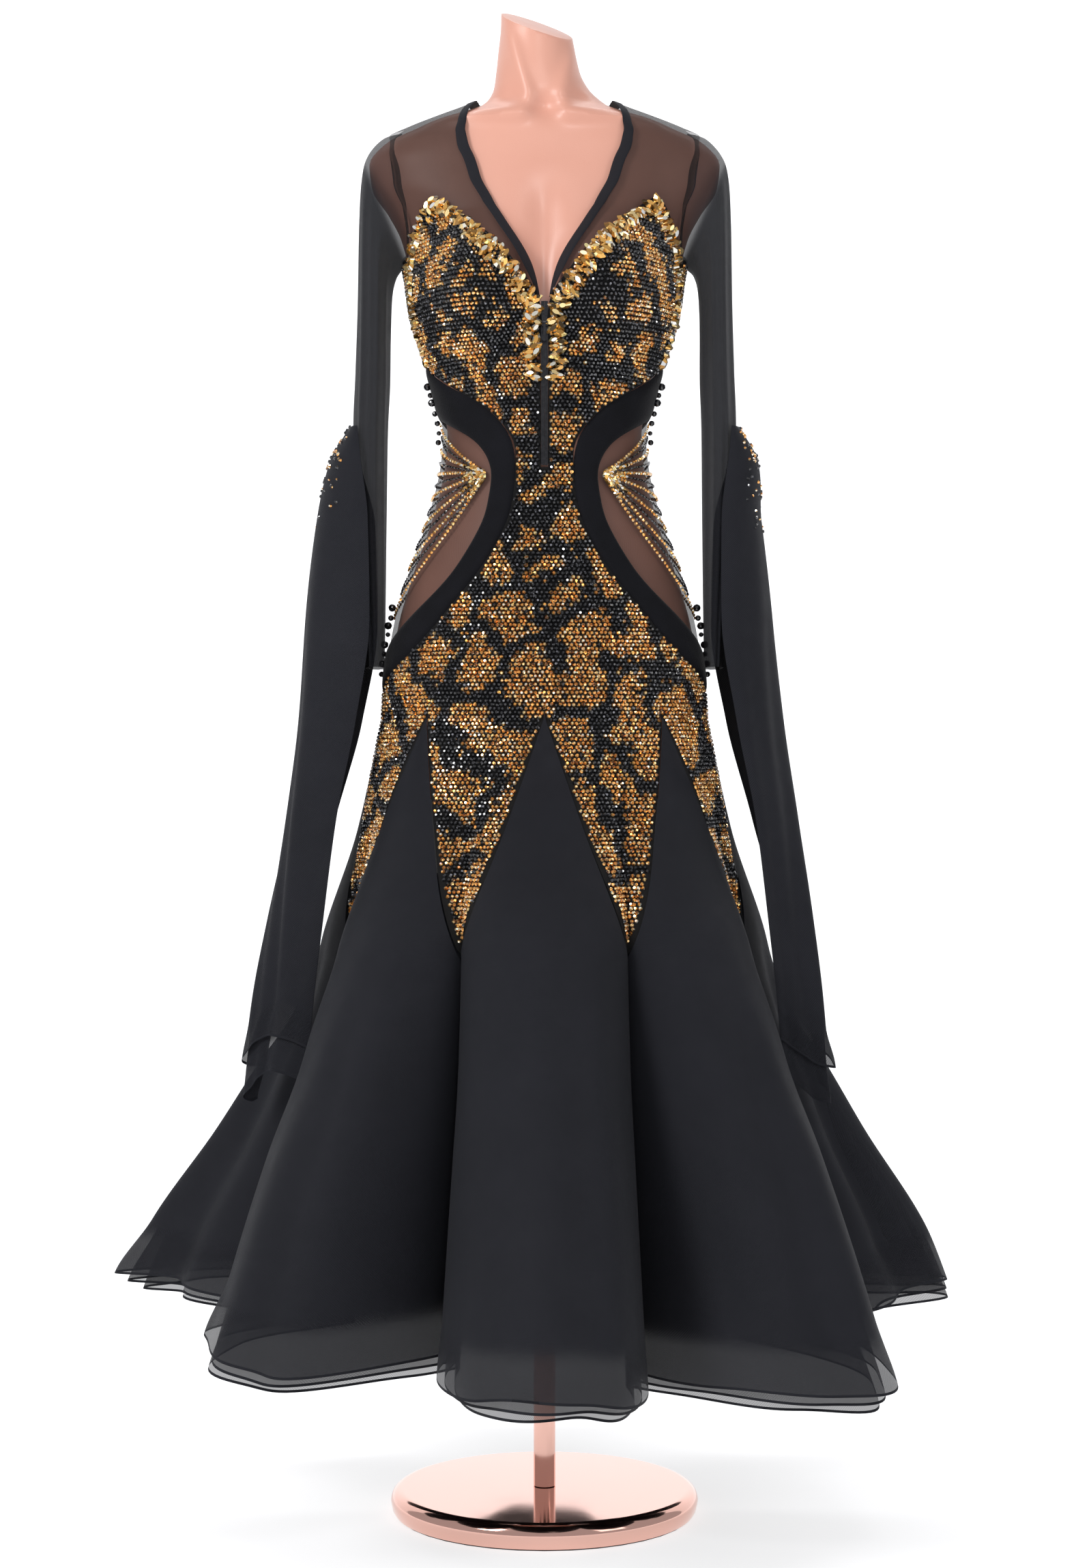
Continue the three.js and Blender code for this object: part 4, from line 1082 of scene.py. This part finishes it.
def stoned(angle, z):
    turn = np.abs((angle + 180) % 360 - 180)
    from_front = np.minimum(turn, 180 - turn)
    middle = np.round(turn / PITCH) * PITCH
    free_of_godets = (z > HIP_LINE) | (np.abs(turn - middle) > godet_half(z))
    hips = inside(hip_outline, from_front, z) & free_of_godets
    return inside(bodice_outline, turn, z) | inside(back_outline, turn, z) | hips


fine = np.linspace(-180, 180, 1441)
spots = []
for row, height in enumerate(np.arange(1318, POINT_HEIGHT, -STONE_PITCH * 0.866)):
    ring = on_gown(fine, np.full_like(fine, height))
    walked = np.concatenate([[0], np.cumsum(np.linalg.norm(np.diff(ring, axis=0), axis=1))])
    start = walked[720] + (row % 2) * STONE_PITCH / 2
    stops = np.arange(start % STONE_PITCH, walked[-1], STONE_PITCH)
    spots.append(np.stack([np.interp(stops, walked, fine), np.full_like(stops, height)], -1))
spots = np.vstack(spots)
degree = 2.1 / np.radians(120)
allowed = np.ones(len(spots), bool)
for across, up in ((0, 0), (degree, 0), (-degree, 0), (0, 2.0), (0, -2.0)):
    allowed &= stoned(spots[:, 0] + across, spots[:, 1] + up)
spots = spots[allowed]
chance = np.random.default_rng(23)
spots = spots + chance.normal(0, 1, spots.shape) * (0.12, 0.22)
stone_points = on_gown(spots[:, 0], spots[:, 1], -0.4)
stone_normals = outward(gown_face, spots[:, 0], spots[:, 1])
print(len(spots), "stones")

# %% [markdown]
# The pattern is a big cat's: gold patches with ragged edges, parted by a black network. Middles of
# patches are scattered at least a patch apart. A stone near the border between its two nearest middles
# is black. Waves bend the borders, a little chance per stone makes them ragged, and the black is wider in
# some places than in others.

# %% Gold patches and the black network
PATCH_APART, HIP_APART, JOINED_PAIRS = 35, 13, 0.12
BORDER, BORDER_CHANGE, RAGGED = 13.5, 2.5, 2.0
middles = []
for candidate in chance.permutation(len(stone_points))[:9000]:
    point = stone_points[candidate] * (1.1, 1, 0.92)
    apart = (PATCH_APART + HIP_APART * smooth_step(point[2], 890, 820)) * chance.uniform(0.8, 1.12)
    if not middles or np.min(np.linalg.norm(np.array(middles) - point, axis=1)) > apart:
        middles.append(point)
middles = np.array(middles)
together = chance.random((len(middles), len(middles))) < JOINED_PAIRS
together |= together.T
wave = np.stack([
    5.5 * np.sin(stone_points @ d / 9.5 + p) + 2.6 * np.sin(stone_points @ e / 5.2 + 2 * p)
    for d, e, p in (
        ((0.7, 0.2, 0.68), (-0.5, 0.3, 0.8), 0.3), ((0.1, 0.8, -0.6), (0.8, 0.1, 0.6), 1.9),
        ((-0.6, 0.3, 0.74), (0.3, 0.6, -0.7), 4.0),
    )
], -1)
warped = (stone_points + wave) * (1.1, 1, 0.92) + chance.normal(0, RAGGED, stone_points.shape)
gap = np.empty(len(warped))
for start in range(0, len(warped), 2000):
    reach = np.linalg.norm(warped[start:start + 2000, None] - middles[None], axis=2)
    order = np.argsort(reach, axis=1)[:, :3]
    reach = np.take_along_axis(reach, order, axis=1)
    rival = np.where(together[order[:, 0], order[:, 1]], reach[:, 2], reach[:, 1])
    gap[start:start + 2000] = rival - reach[:, 0]
slow_wave = np.sin(0.021 * stone_points[:, 2] + 1.1) * np.sin(0.027 * stone_points[:, 0] + 0.4)
is_gold = gap > BORDER + BORDER_CHANGE * slow_wave
is_gold ^= chance.random(len(is_gold)) < 0.025
print(f"{is_gold.mean():.0%} of the stones are gold, in {len(middles)} patches")

# %% [markdown]
# One stone is a short eight-sided cone with its top cut flat. It is made once, then set thousands of
# times by arrays: each copy gets its own turn and a small tilt, so that the light breaks up, and every
# face of the cut its own painted colour, partly the stone's own and partly a painted highlight or reflection.

# %% Cutting and setting stones
# Palettes for the faces of the cut: the stones' own amber, olive gold and jet, mixed with painted white
# highlights and painted near-black reflections; the palest jet grey is a painted glint.
AMBERS_AND_PAINTED_REFLECTIONS = np.array([
    (0.90, 0.42, 0.10), (0.62, 0.24, 0.05), (0.98, 0.66, 0.30), (0.26, 0.09, 0.025), (1.0, 0.90, 0.72),
    (0.10, 0.035, 0.015),
])
AMBER_ODDS = (0.30, 0.16, 0.26, 0.10, 0.13, 0.05)
JETS_AND_PAINTED_GLINTS = np.array([(0.004, 0.004, 0.005), (0.010, 0.010, 0.012), (0.03, 0.03, 0.034), (0.16, 0.16, 0.18)])
JET_ODDS = (0.5, 0.3, 0.15, 0.05)
OLIVES_AND_PAINTED_REFLECTIONS = np.array(
    [(0.80, 0.43, 0.10), (0.36, 0.18, 0.035), (1.0, 0.76, 0.36), (0.07, 0.04, 0.01), (1.0, 0.96, 0.84)]
)
OLIVE_ODDS = (0.30, 0.20, 0.22, 0.12, 0.16)


def cut_stone(sides, length=1.0, taper=0.56, height=0.42):
    """Corners and faces of one stone, a unit wide, sitting on z = 0."""
    bm = bmesh.new()
    bmesh.ops.create_cone(bm, cap_ends=True, segments=sides, radius1=0.5, radius2=0.5 * taper, depth=height)
    bmesh.ops.translate(bm, verts=bm.verts, vec=(0, 0, height / 2))
    for vertex in bm.verts:
        pinch = 1 - 0.45 * (abs(vertex.co.y) * 2) ** 2 if length > 1.2 else 1
        vertex.co.x *= pinch
        vertex.co.y *= length
    bottom = [face for face in bm.faces if all(v.co.z < 1e-5 for v in face.verts)]
    bmesh.ops.delete(bm, geom=bottom, context="FACES_ONLY")
    bm.verts.index_update()
    corners = np.array([vertex.co[:] for vertex in bm.verts])
    faces = [[vertex.index for vertex in face.verts] for face in bm.faces]
    bm.free()
    return corners, faces


def set_stones(
    name, cut, points, normals, sizes, palette, odds, finish, body, turns=None, tilt=0.10, sunk=0.0,
):
    corners, faces = cut
    count = len(points)
    normals = normals + chance.normal(0, tilt, normals.shape)
    normals /= np.linalg.norm(normals, axis=1, keepdims=True)
    up = np.cross(normals, np.cross((0, 0, 1.0), normals))
    up /= np.maximum(np.linalg.norm(up, axis=1, keepdims=True), 1e-6)
    across = np.cross(up, normals)
    turns = chance.uniform(0, 2 * math.pi, count) if turns is None else turns
    x_axis = across * np.cos(turns)[:, None] + up * np.sin(turns)[:, None]
    y_axis = np.cross(normals, x_axis)
    sizes = np.broadcast_to(np.asarray(sizes, float), (count,))[:, None, None]
    local = corners[None] * sizes
    placed = (
        points[:, None] - normals[:, None] * sunk + local[..., :1] * x_axis[:, None]
        + local[..., 1:2] * y_axis[:, None] + local[..., 2:] * normals[:, None]
    )
    totals = np.array([len(face) for face in faces])
    loops = np.concatenate(faces)
    mesh = bpy.data.meshes.new(name)
    mesh.vertices.add(count * len(corners))
    mesh.vertices.foreach_set("co", (placed * MM).astype(np.float32).ravel())
    mesh.loops.add(count * len(loops))
    mesh.loops.foreach_set(
        "vertex_index", (loops[None] + np.arange(count)[:, None] * len(corners)).ravel().astype(np.int32),
    )
    mesh.polygons.add(count * len(faces))
    mesh.polygons.foreach_set(
        "loop_start", np.concatenate([[0], np.cumsum(np.tile(totals, count))[:-1]]).astype(np.int32),
    )
    mesh.polygons.foreach_set("loop_total", np.tile(totals, count).astype(np.int32))
    # each face of each stone gets one palette colour: the stone's own amber, gold or black, or a painted
    # white highlight or painted dark reflection
    tone = palette[chance.choice(len(palette), (count, len(faces)), p=odds)]
    stone_tone = chance.uniform(0.75, 1.2, (count, 1, 1))
    tone = np.clip(tone * stone_tone, 0, 1)
    corner_colour_and_reflection = np.repeat(tone.reshape(-1, 3), np.tile(totals, count), axis=0)
    attribute = mesh.attributes.new("facet", "FLOAT_COLOR", "CORNER")
    attribute.data.foreach_set(
        "color", np.hstack([corner_colour_and_reflection, np.ones((len(corner_colour_and_reflection), 1))]).astype(np.float32).ravel(),
    )
    mesh.update(calc_edges=True)
    mesh.validate()
    mesh.shade_flat()
    piece = bpy.data.objects.new(name, mesh)
    bpy.context.scene.collection.objects.link(piece)
    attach(piece, body)
    dress_in(piece, finish)
    print(name, count)
    return piece


round_cut = cut_stone(8)
zones = {
    "bodice_front": (spots[:, 1] > WAIST_SEAM) & (np.abs(spots[:, 0]) <= 90),
    "bodice_back": (spots[:, 1] > WAIST_SEAM) & (np.abs(spots[:, 0]) > 90),
    "hips_front": (spots[:, 1] <= WAIST_SEAM) & (np.abs(spots[:, 0]) <= 90),
    "hips_back": (spots[:, 1] <= WAIST_SEAM) & (np.abs(spots[:, 0]) > 90),
}
for zone, chosen in zones.items():
    for gold, palette, odds, finish in (
        (True, AMBERS_AND_PAINTED_REFLECTIONS, AMBER_ODDS, gold_stone), (False, JETS_AND_PAINTED_GLINTS, JET_ODDS, jet_stone),
    ):
        pick = chosen & (is_gold == gold)
        set_stones(
            f"{'gold' if gold else 'black'}_stones_{zone}", round_cut, stone_points[pick],
            stone_normals[pick], STONE_WIDTH * chance.uniform(0.93, 1.04, pick.sum()), palette, odds, finish,
            "form",
        )

# %% [markdown]
# Large pear and boat-shaped crystals edge the bodice, thickest along the neckline, and run down both
# sides of the zip. They are set at loose angles so that they overlap a little, and each is a longer cut
# with a high table.

# %% Large crystals
pear_cut = cut_stone(10, 1.9, 0.5, 0.5)


def along(curve, start, end, every, offsets, sign):
    """Places along a seam, each pushed sideways by one of the offsets in degrees."""
    fine_v = np.linspace(start, end, 400)
    path = curve(fine_v)
    points = on_gown(path[:, 0], path[:, 1])
    walked = np.concatenate([[0], np.cumsum(np.linalg.norm(np.diff(points, axis=0), axis=1))])
    found = []
    for row, offset in enumerate(offsets):
        stops = np.arange(every * (0.3 + 0.5 * (row % 2)), walked[-1], every)
        v = np.interp(stops, walked, fine_v)
        path = curve(v)
        ahead = curve(v + 0.004) - curve(v - 0.004)
        ahead = ahead * (2.2, 1.0)
        ahead /= np.linalg.norm(ahead, axis=1, keepdims=True)
        side_step = np.stack([-ahead[:, 1] / 2.2, ahead[:, 0]], -1)
        found.append(
            np.column_stack([path + side_step * offset * sign, np.arctan2(ahead[:, 1], ahead[:, 0])])
        )
    return np.vstack(found)


edge_sets = [
    along(cup_inner, 0.385, 1.0, 8.5, (-4.5, -10.5), 1),
    along(cup_inner, 0.385, 0.75, 9.5, (-17,), 1),
    along(cup_outer, 0.62, 1.0, 8.5, (4.5, 10.5), 1),
    along(cup_outer, 0.50, 0.62, 10.0, (5.0,), 1),
    along(cup_inner, 0.19, 0.38, 8.0, (-5.0, -12.0), 1),
]
edge_spots = np.vstack(edge_sets)
edge_spots = np.vstack([edge_spots, edge_spots * (-1, 1, -1) + (0, 0, math.pi)])
edge_spots[:, :2] += chance.normal(0, 1, (len(edge_spots), 2)) * (0.5, 1.2)
crystal_points = on_gown(edge_spots[:, 0], edge_spots[:, 1], 1.2)
crystal_normals = outward(gown_face, edge_spots[:, 0], edge_spots[:, 1])
set_stones(
    "large_crystals", pear_cut, crystal_points, crystal_normals, chance.uniform(6.0, 9.0, len(edge_spots)),
    OLIVES_AND_PAINTED_REFLECTIONS, OLIVE_ODDS, gold_stone, "form",
    edge_spots[:, 2] + chance.normal(0, 0.55, len(edge_spots)), 0.16,
)

# %% [markdown]
# Strings of mixed stones fan out across each side window from one point by the velvet, and go on round
# to meet their mirror image behind. Round black beads hang at the ends, on the wearer's side.

# %% Rays across the side windows
ray_cut = cut_stone(6)
RAY_CENTRE, RAY_CLUSTER = (32.0, 1040), 11
ray_ends = (1100, 1087, 1073, 1060, 1047, 1034, 1020, 1005, 988, 969, 948, 925, 900)
window_outline = np.vstack([band_outer(step), [(92, 868), (92, 1104)]])
rays = {"gold": [], "black": [], "bright": []}
for i, end_height in enumerate(ray_ends):
    start, end = np.array(RAY_CENTRE), np.array((91, end_height))
    t = np.linspace(0, 1, 240)
    sag = -0.10 * (RAY_CENTRE[1] - end_height) * np.sin(math.pi * t) * (end_height < RAY_CENTRE[1])
    path = start + (end - start) * t[:, None] + np.stack([0 * t, sag], -1)
    points = on_gown(path[:, 0], path[:, 1])
    walked = np.concatenate([[0], np.cumsum(np.linalg.norm(np.diff(points, axis=0), axis=1))])
    every = 5.0 if i % 2 else 4.6
    stops = np.arange(5 + 4 * (i % 3), walked[-1], every)
    v = np.interp(stops, walked, t)
    chosen = np.stack(
        [
            np.interp(v, t, path[:, 0]), np.interp(v, t, path[:, 1]),
            np.full_like(v, np.arctan2(end_height - RAY_CENTRE[1], 95)),
        ],
        -1,
    )
    keep = inside(window_outline, chosen[:, 0], chosen[:, 1])
    near = stops < RAY_CLUSTER * (1 + i % 3)
    rays["bright"].append(chosen[keep & near])
    rays["black" if i % 2 else "gold"].append(chosen[keep & ~near])
for name, cut, size, palette, odds, finish in (
    ("black", pear_cut, 3.0, JETS_AND_PAINTED_GLINTS, JET_ODDS, jet_stone),
    ("gold", ray_cut, 4.1, AMBERS_AND_PAINTED_REFLECTIONS[[0, 2, 4]], (0.45, 0.35, 0.20), gold_stone),
    ("bright", pear_cut, 4.4, OLIVES_AND_PAINTED_REFLECTIONS, OLIVE_ODDS, gold_stone),
):
    found = np.vstack(rays[name])
    found = np.vstack([found, found * (-1, 1, -1) + (0, 0, math.pi)])
    found = np.vstack([found, (180, 0, 0) + found * (-1, 1, -1)])
    turns = found[:, 2] + math.pi / 2 + chance.normal(0, 0.15, len(found))
    set_stones(
        "ray_" + name, cut, on_gown(found[:, 0], found[:, 1], -1.2),
        outward(gown_face, found[:, 0], found[:, 1]), size, palette, odds, finish, "form", turns,
    )

bead = bmesh.new()
bmesh.ops.create_icosphere(bead, subdivisions=2, radius=0.5)
bead.verts.index_update()
bead_cut = (np.array([v.co[:] for v in bead.verts]), [[v.index for v in face.verts] for face in bead.faces])
bead.free()
bead_spots = np.array([
    (86, 1138, 8), (90, 1130, 6), (84, 1121, 8), (89, 1111, 6), (85, 1100, 6), (90, 1090, 5), (87, 1079, 6),
    (88, 910, 8), (84, 900, 6), (90, 893, 8), (86, 884, 5), (89, 874, 8), (91, 865, 6), (87, 855, 7),
    (90, 845, 6),
])
bead_spots = np.vstack([bead_spots, bead_spots * (-1, 1, 1)])
bead_points = on_gown(bead_spots[:, 0], bead_spots[:, 1], 0) + outward(
    gown_face, bead_spots[:, 0], bead_spots[:, 1],
) * (bead_spots[:, 2:] * 0.5 - 0.2)
set_stones(
    "side_beads", bead_cut, bead_points, outward(gown_face, bead_spots[:, 0], bead_spots[:, 1]),
    bead_spots[:, 2], JETS_AND_PAINTED_GLINTS[:3], (0.7, 0.2, 0.1), jet_stone, "form",
)

for side, sign, reach in (("left", 1, 0.8), ("right", -1, 1.0)):
    u, v = chance.uniform(0.2, 1, 95), chance.beta(1.0, 2.6, 95) * 0.22
    place = float_place(sign, reach, 0)
    points = place(u, v)
    normals = np.cross(place(u + 0.002, v) - points, place(u, v + 0.002) - points)
    normals *= -np.sign(np.sum(normals * (points - (sign * 170, 0, 0)) * (1, 1, 0), axis=1))[:, None] * -1
    normals /= np.linalg.norm(normals, axis=1, keepdims=True)
    gold = chance.random(95) < 0.5
    for name, pick, palette, odds, finish in (
        ("gold", gold, AMBERS_AND_PAINTED_REFLECTIONS, AMBER_ODDS, gold_stone), ("black", ~gold, JETS_AND_PAINTED_GLINTS, JET_ODDS, jet_stone),
    ):
        set_stones(
            f"float_{name}_stones_{side}", ray_cut, points[pick], normals[pick],
            chance.uniform(2.8, 4.6, pick.sum()), palette, odds, finish, side + "_float",
        )

# %% [markdown]
# The zip runs down the centre front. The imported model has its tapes, slider and pull in the right
# places, so they stay, and get a metal finish. Fine teeth are added between the tapes.

# %% Zip and the hidden parts of the stand
for node in ("zip_tape_left", "zip_tape_right", "zip_slider", "zip_pull"):
    dress_in(frame["nodes"][node], zip_metal)
for node in ("base_weight", "base_screw", "height_collar", "pole_rod", "torso_base_plate", "torso_socket"):
    dress_in(frame["nodes"][node], steel)
for node in ("base_pad", "height_knob", "swivel_knob"):
    dress_in(frame["nodes"][node], rubber)
for place, low in (("front", -15), ("back", 165)):
    stay = cloth(
        "waist_stay_" + place,
        between(line((low, 1062), (low, 1049)), line((low + 30, 1062), (low + 30, 1049)), -4.6), 24, 4,
        "form",
    )
    dress_in(stay, stretch_cloth)
    declare_cloth(stay)
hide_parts("waist_stay")

zip_low, zip_high = (np.array(p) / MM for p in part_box("zip_tape_left"))
teeth = bmesh.new()
ZIP_TEETH = 100
for k in range(ZIP_TEETH):
    share = (k + 0.5) / ZIP_TEETH
    z = zip_low[2] + share * (zip_high[2] - zip_low[2])
    y = float(on_gown(0.0, z)[1]) + 0.6
    made = bmesh.ops.create_cube(teeth, size=1)["verts"]
    bmesh.ops.scale(teeth, verts=made, vec=(2.6 * MM, 1.2 * MM, 0.8 * MM))
    bmesh.ops.translate(teeth, verts=made, vec=((0.5 if k % 2 else -0.5) * MM, y * MM, z * MM))
zip_teeth = finish_object(teeth, "zip_teeth", "form", smooth=False)
dress_in(zip_teeth, zip_metal)

# %% [markdown]
# A studio picture on white: a pale floor that meets a pale wall in one wide curve, a bright world, one
# large soft light on each side, and a smaller one in front for the stones' sparkle.

# %% Floor and light
room = bmesh.new()
profile = [(-9, 0)] + [
    (3.5 + 1.5 * math.sin(a), 1.5 - 1.5 * math.cos(a)) for a in np.linspace(0, math.pi / 2, 16)
] + [(5, 7)]
points = [room.verts.new((-8, y, z)) for y, z in profile]
edges = [room.edges.new(pair) for pair in zip(points, points[1:])]
moved = bmesh.ops.extrude_edge_only(room, edges=edges)["geom"]
bmesh.ops.translate(room, verts=[g for g in moved if isinstance(g, bmesh.types.BMVert)], vec=(16, 0, 0))
mesh = bpy.data.meshes.new("studio_sweep")
room.to_mesh(mesh)
room.free()
sweep = bpy.data.objects.new("studio_sweep", mesh)
bpy.context.scene.collection.objects.link(sweep)
paper = Finish(
    "white paper", specular_ior_level=0.0, roughness=1.0, emission_color=(1, 1, 1, 1), emission_strength=0.70,
)
paper.set(base_color=paper.blend(paper.noise(3), (0.44, 0.44, 0.455, 1), (0.46, 0.46, 0.47, 1)))
dress_in(sweep, paper)

world = bpy.data.worlds.new("studio")
world.use_nodes = True
world.node_tree.nodes["Background"].inputs["Color"].default_value = (0.96, 0.97, 1.0, 1)
world.node_tree.nodes["Background"].inputs["Strength"].default_value = 0.46
bpy.context.scene.world = world
bpy.context.scene.view_settings.view_transform = "Standard"


def soft_light(name, place, aim, width, height, power):
    data = bpy.data.lights.new(name, "AREA")
    data.shape, data.size, data.size_y, data.energy = "RECTANGLE", width, height, power
    lamp = bpy.data.objects.new(name, data)
    lamp.location = place
    lamp.rotation_euler = (Vector(aim) - Vector(place)).to_track_quat("-Z", "Y").to_euler()
    bpy.context.scene.collection.objects.link(lamp)


soft_light("key", (-2.2, -2.2, 2.6), (0, 0, 0.9), 0.9, 1.4, 62)
soft_light("fill", (2.4, -1.9, 1.9), (0, 0, 0.8), 1.2, 1.8, 10)
soft_light("front sparkle", (0.3, -2.7, 2.4), (0, 0, 1.0), 0.35, 0.35, 14)
soft_light("wall wash", (0, 1.4, 3.6), (0, 4.2, 0.6), 4.0, 1.0, 120)
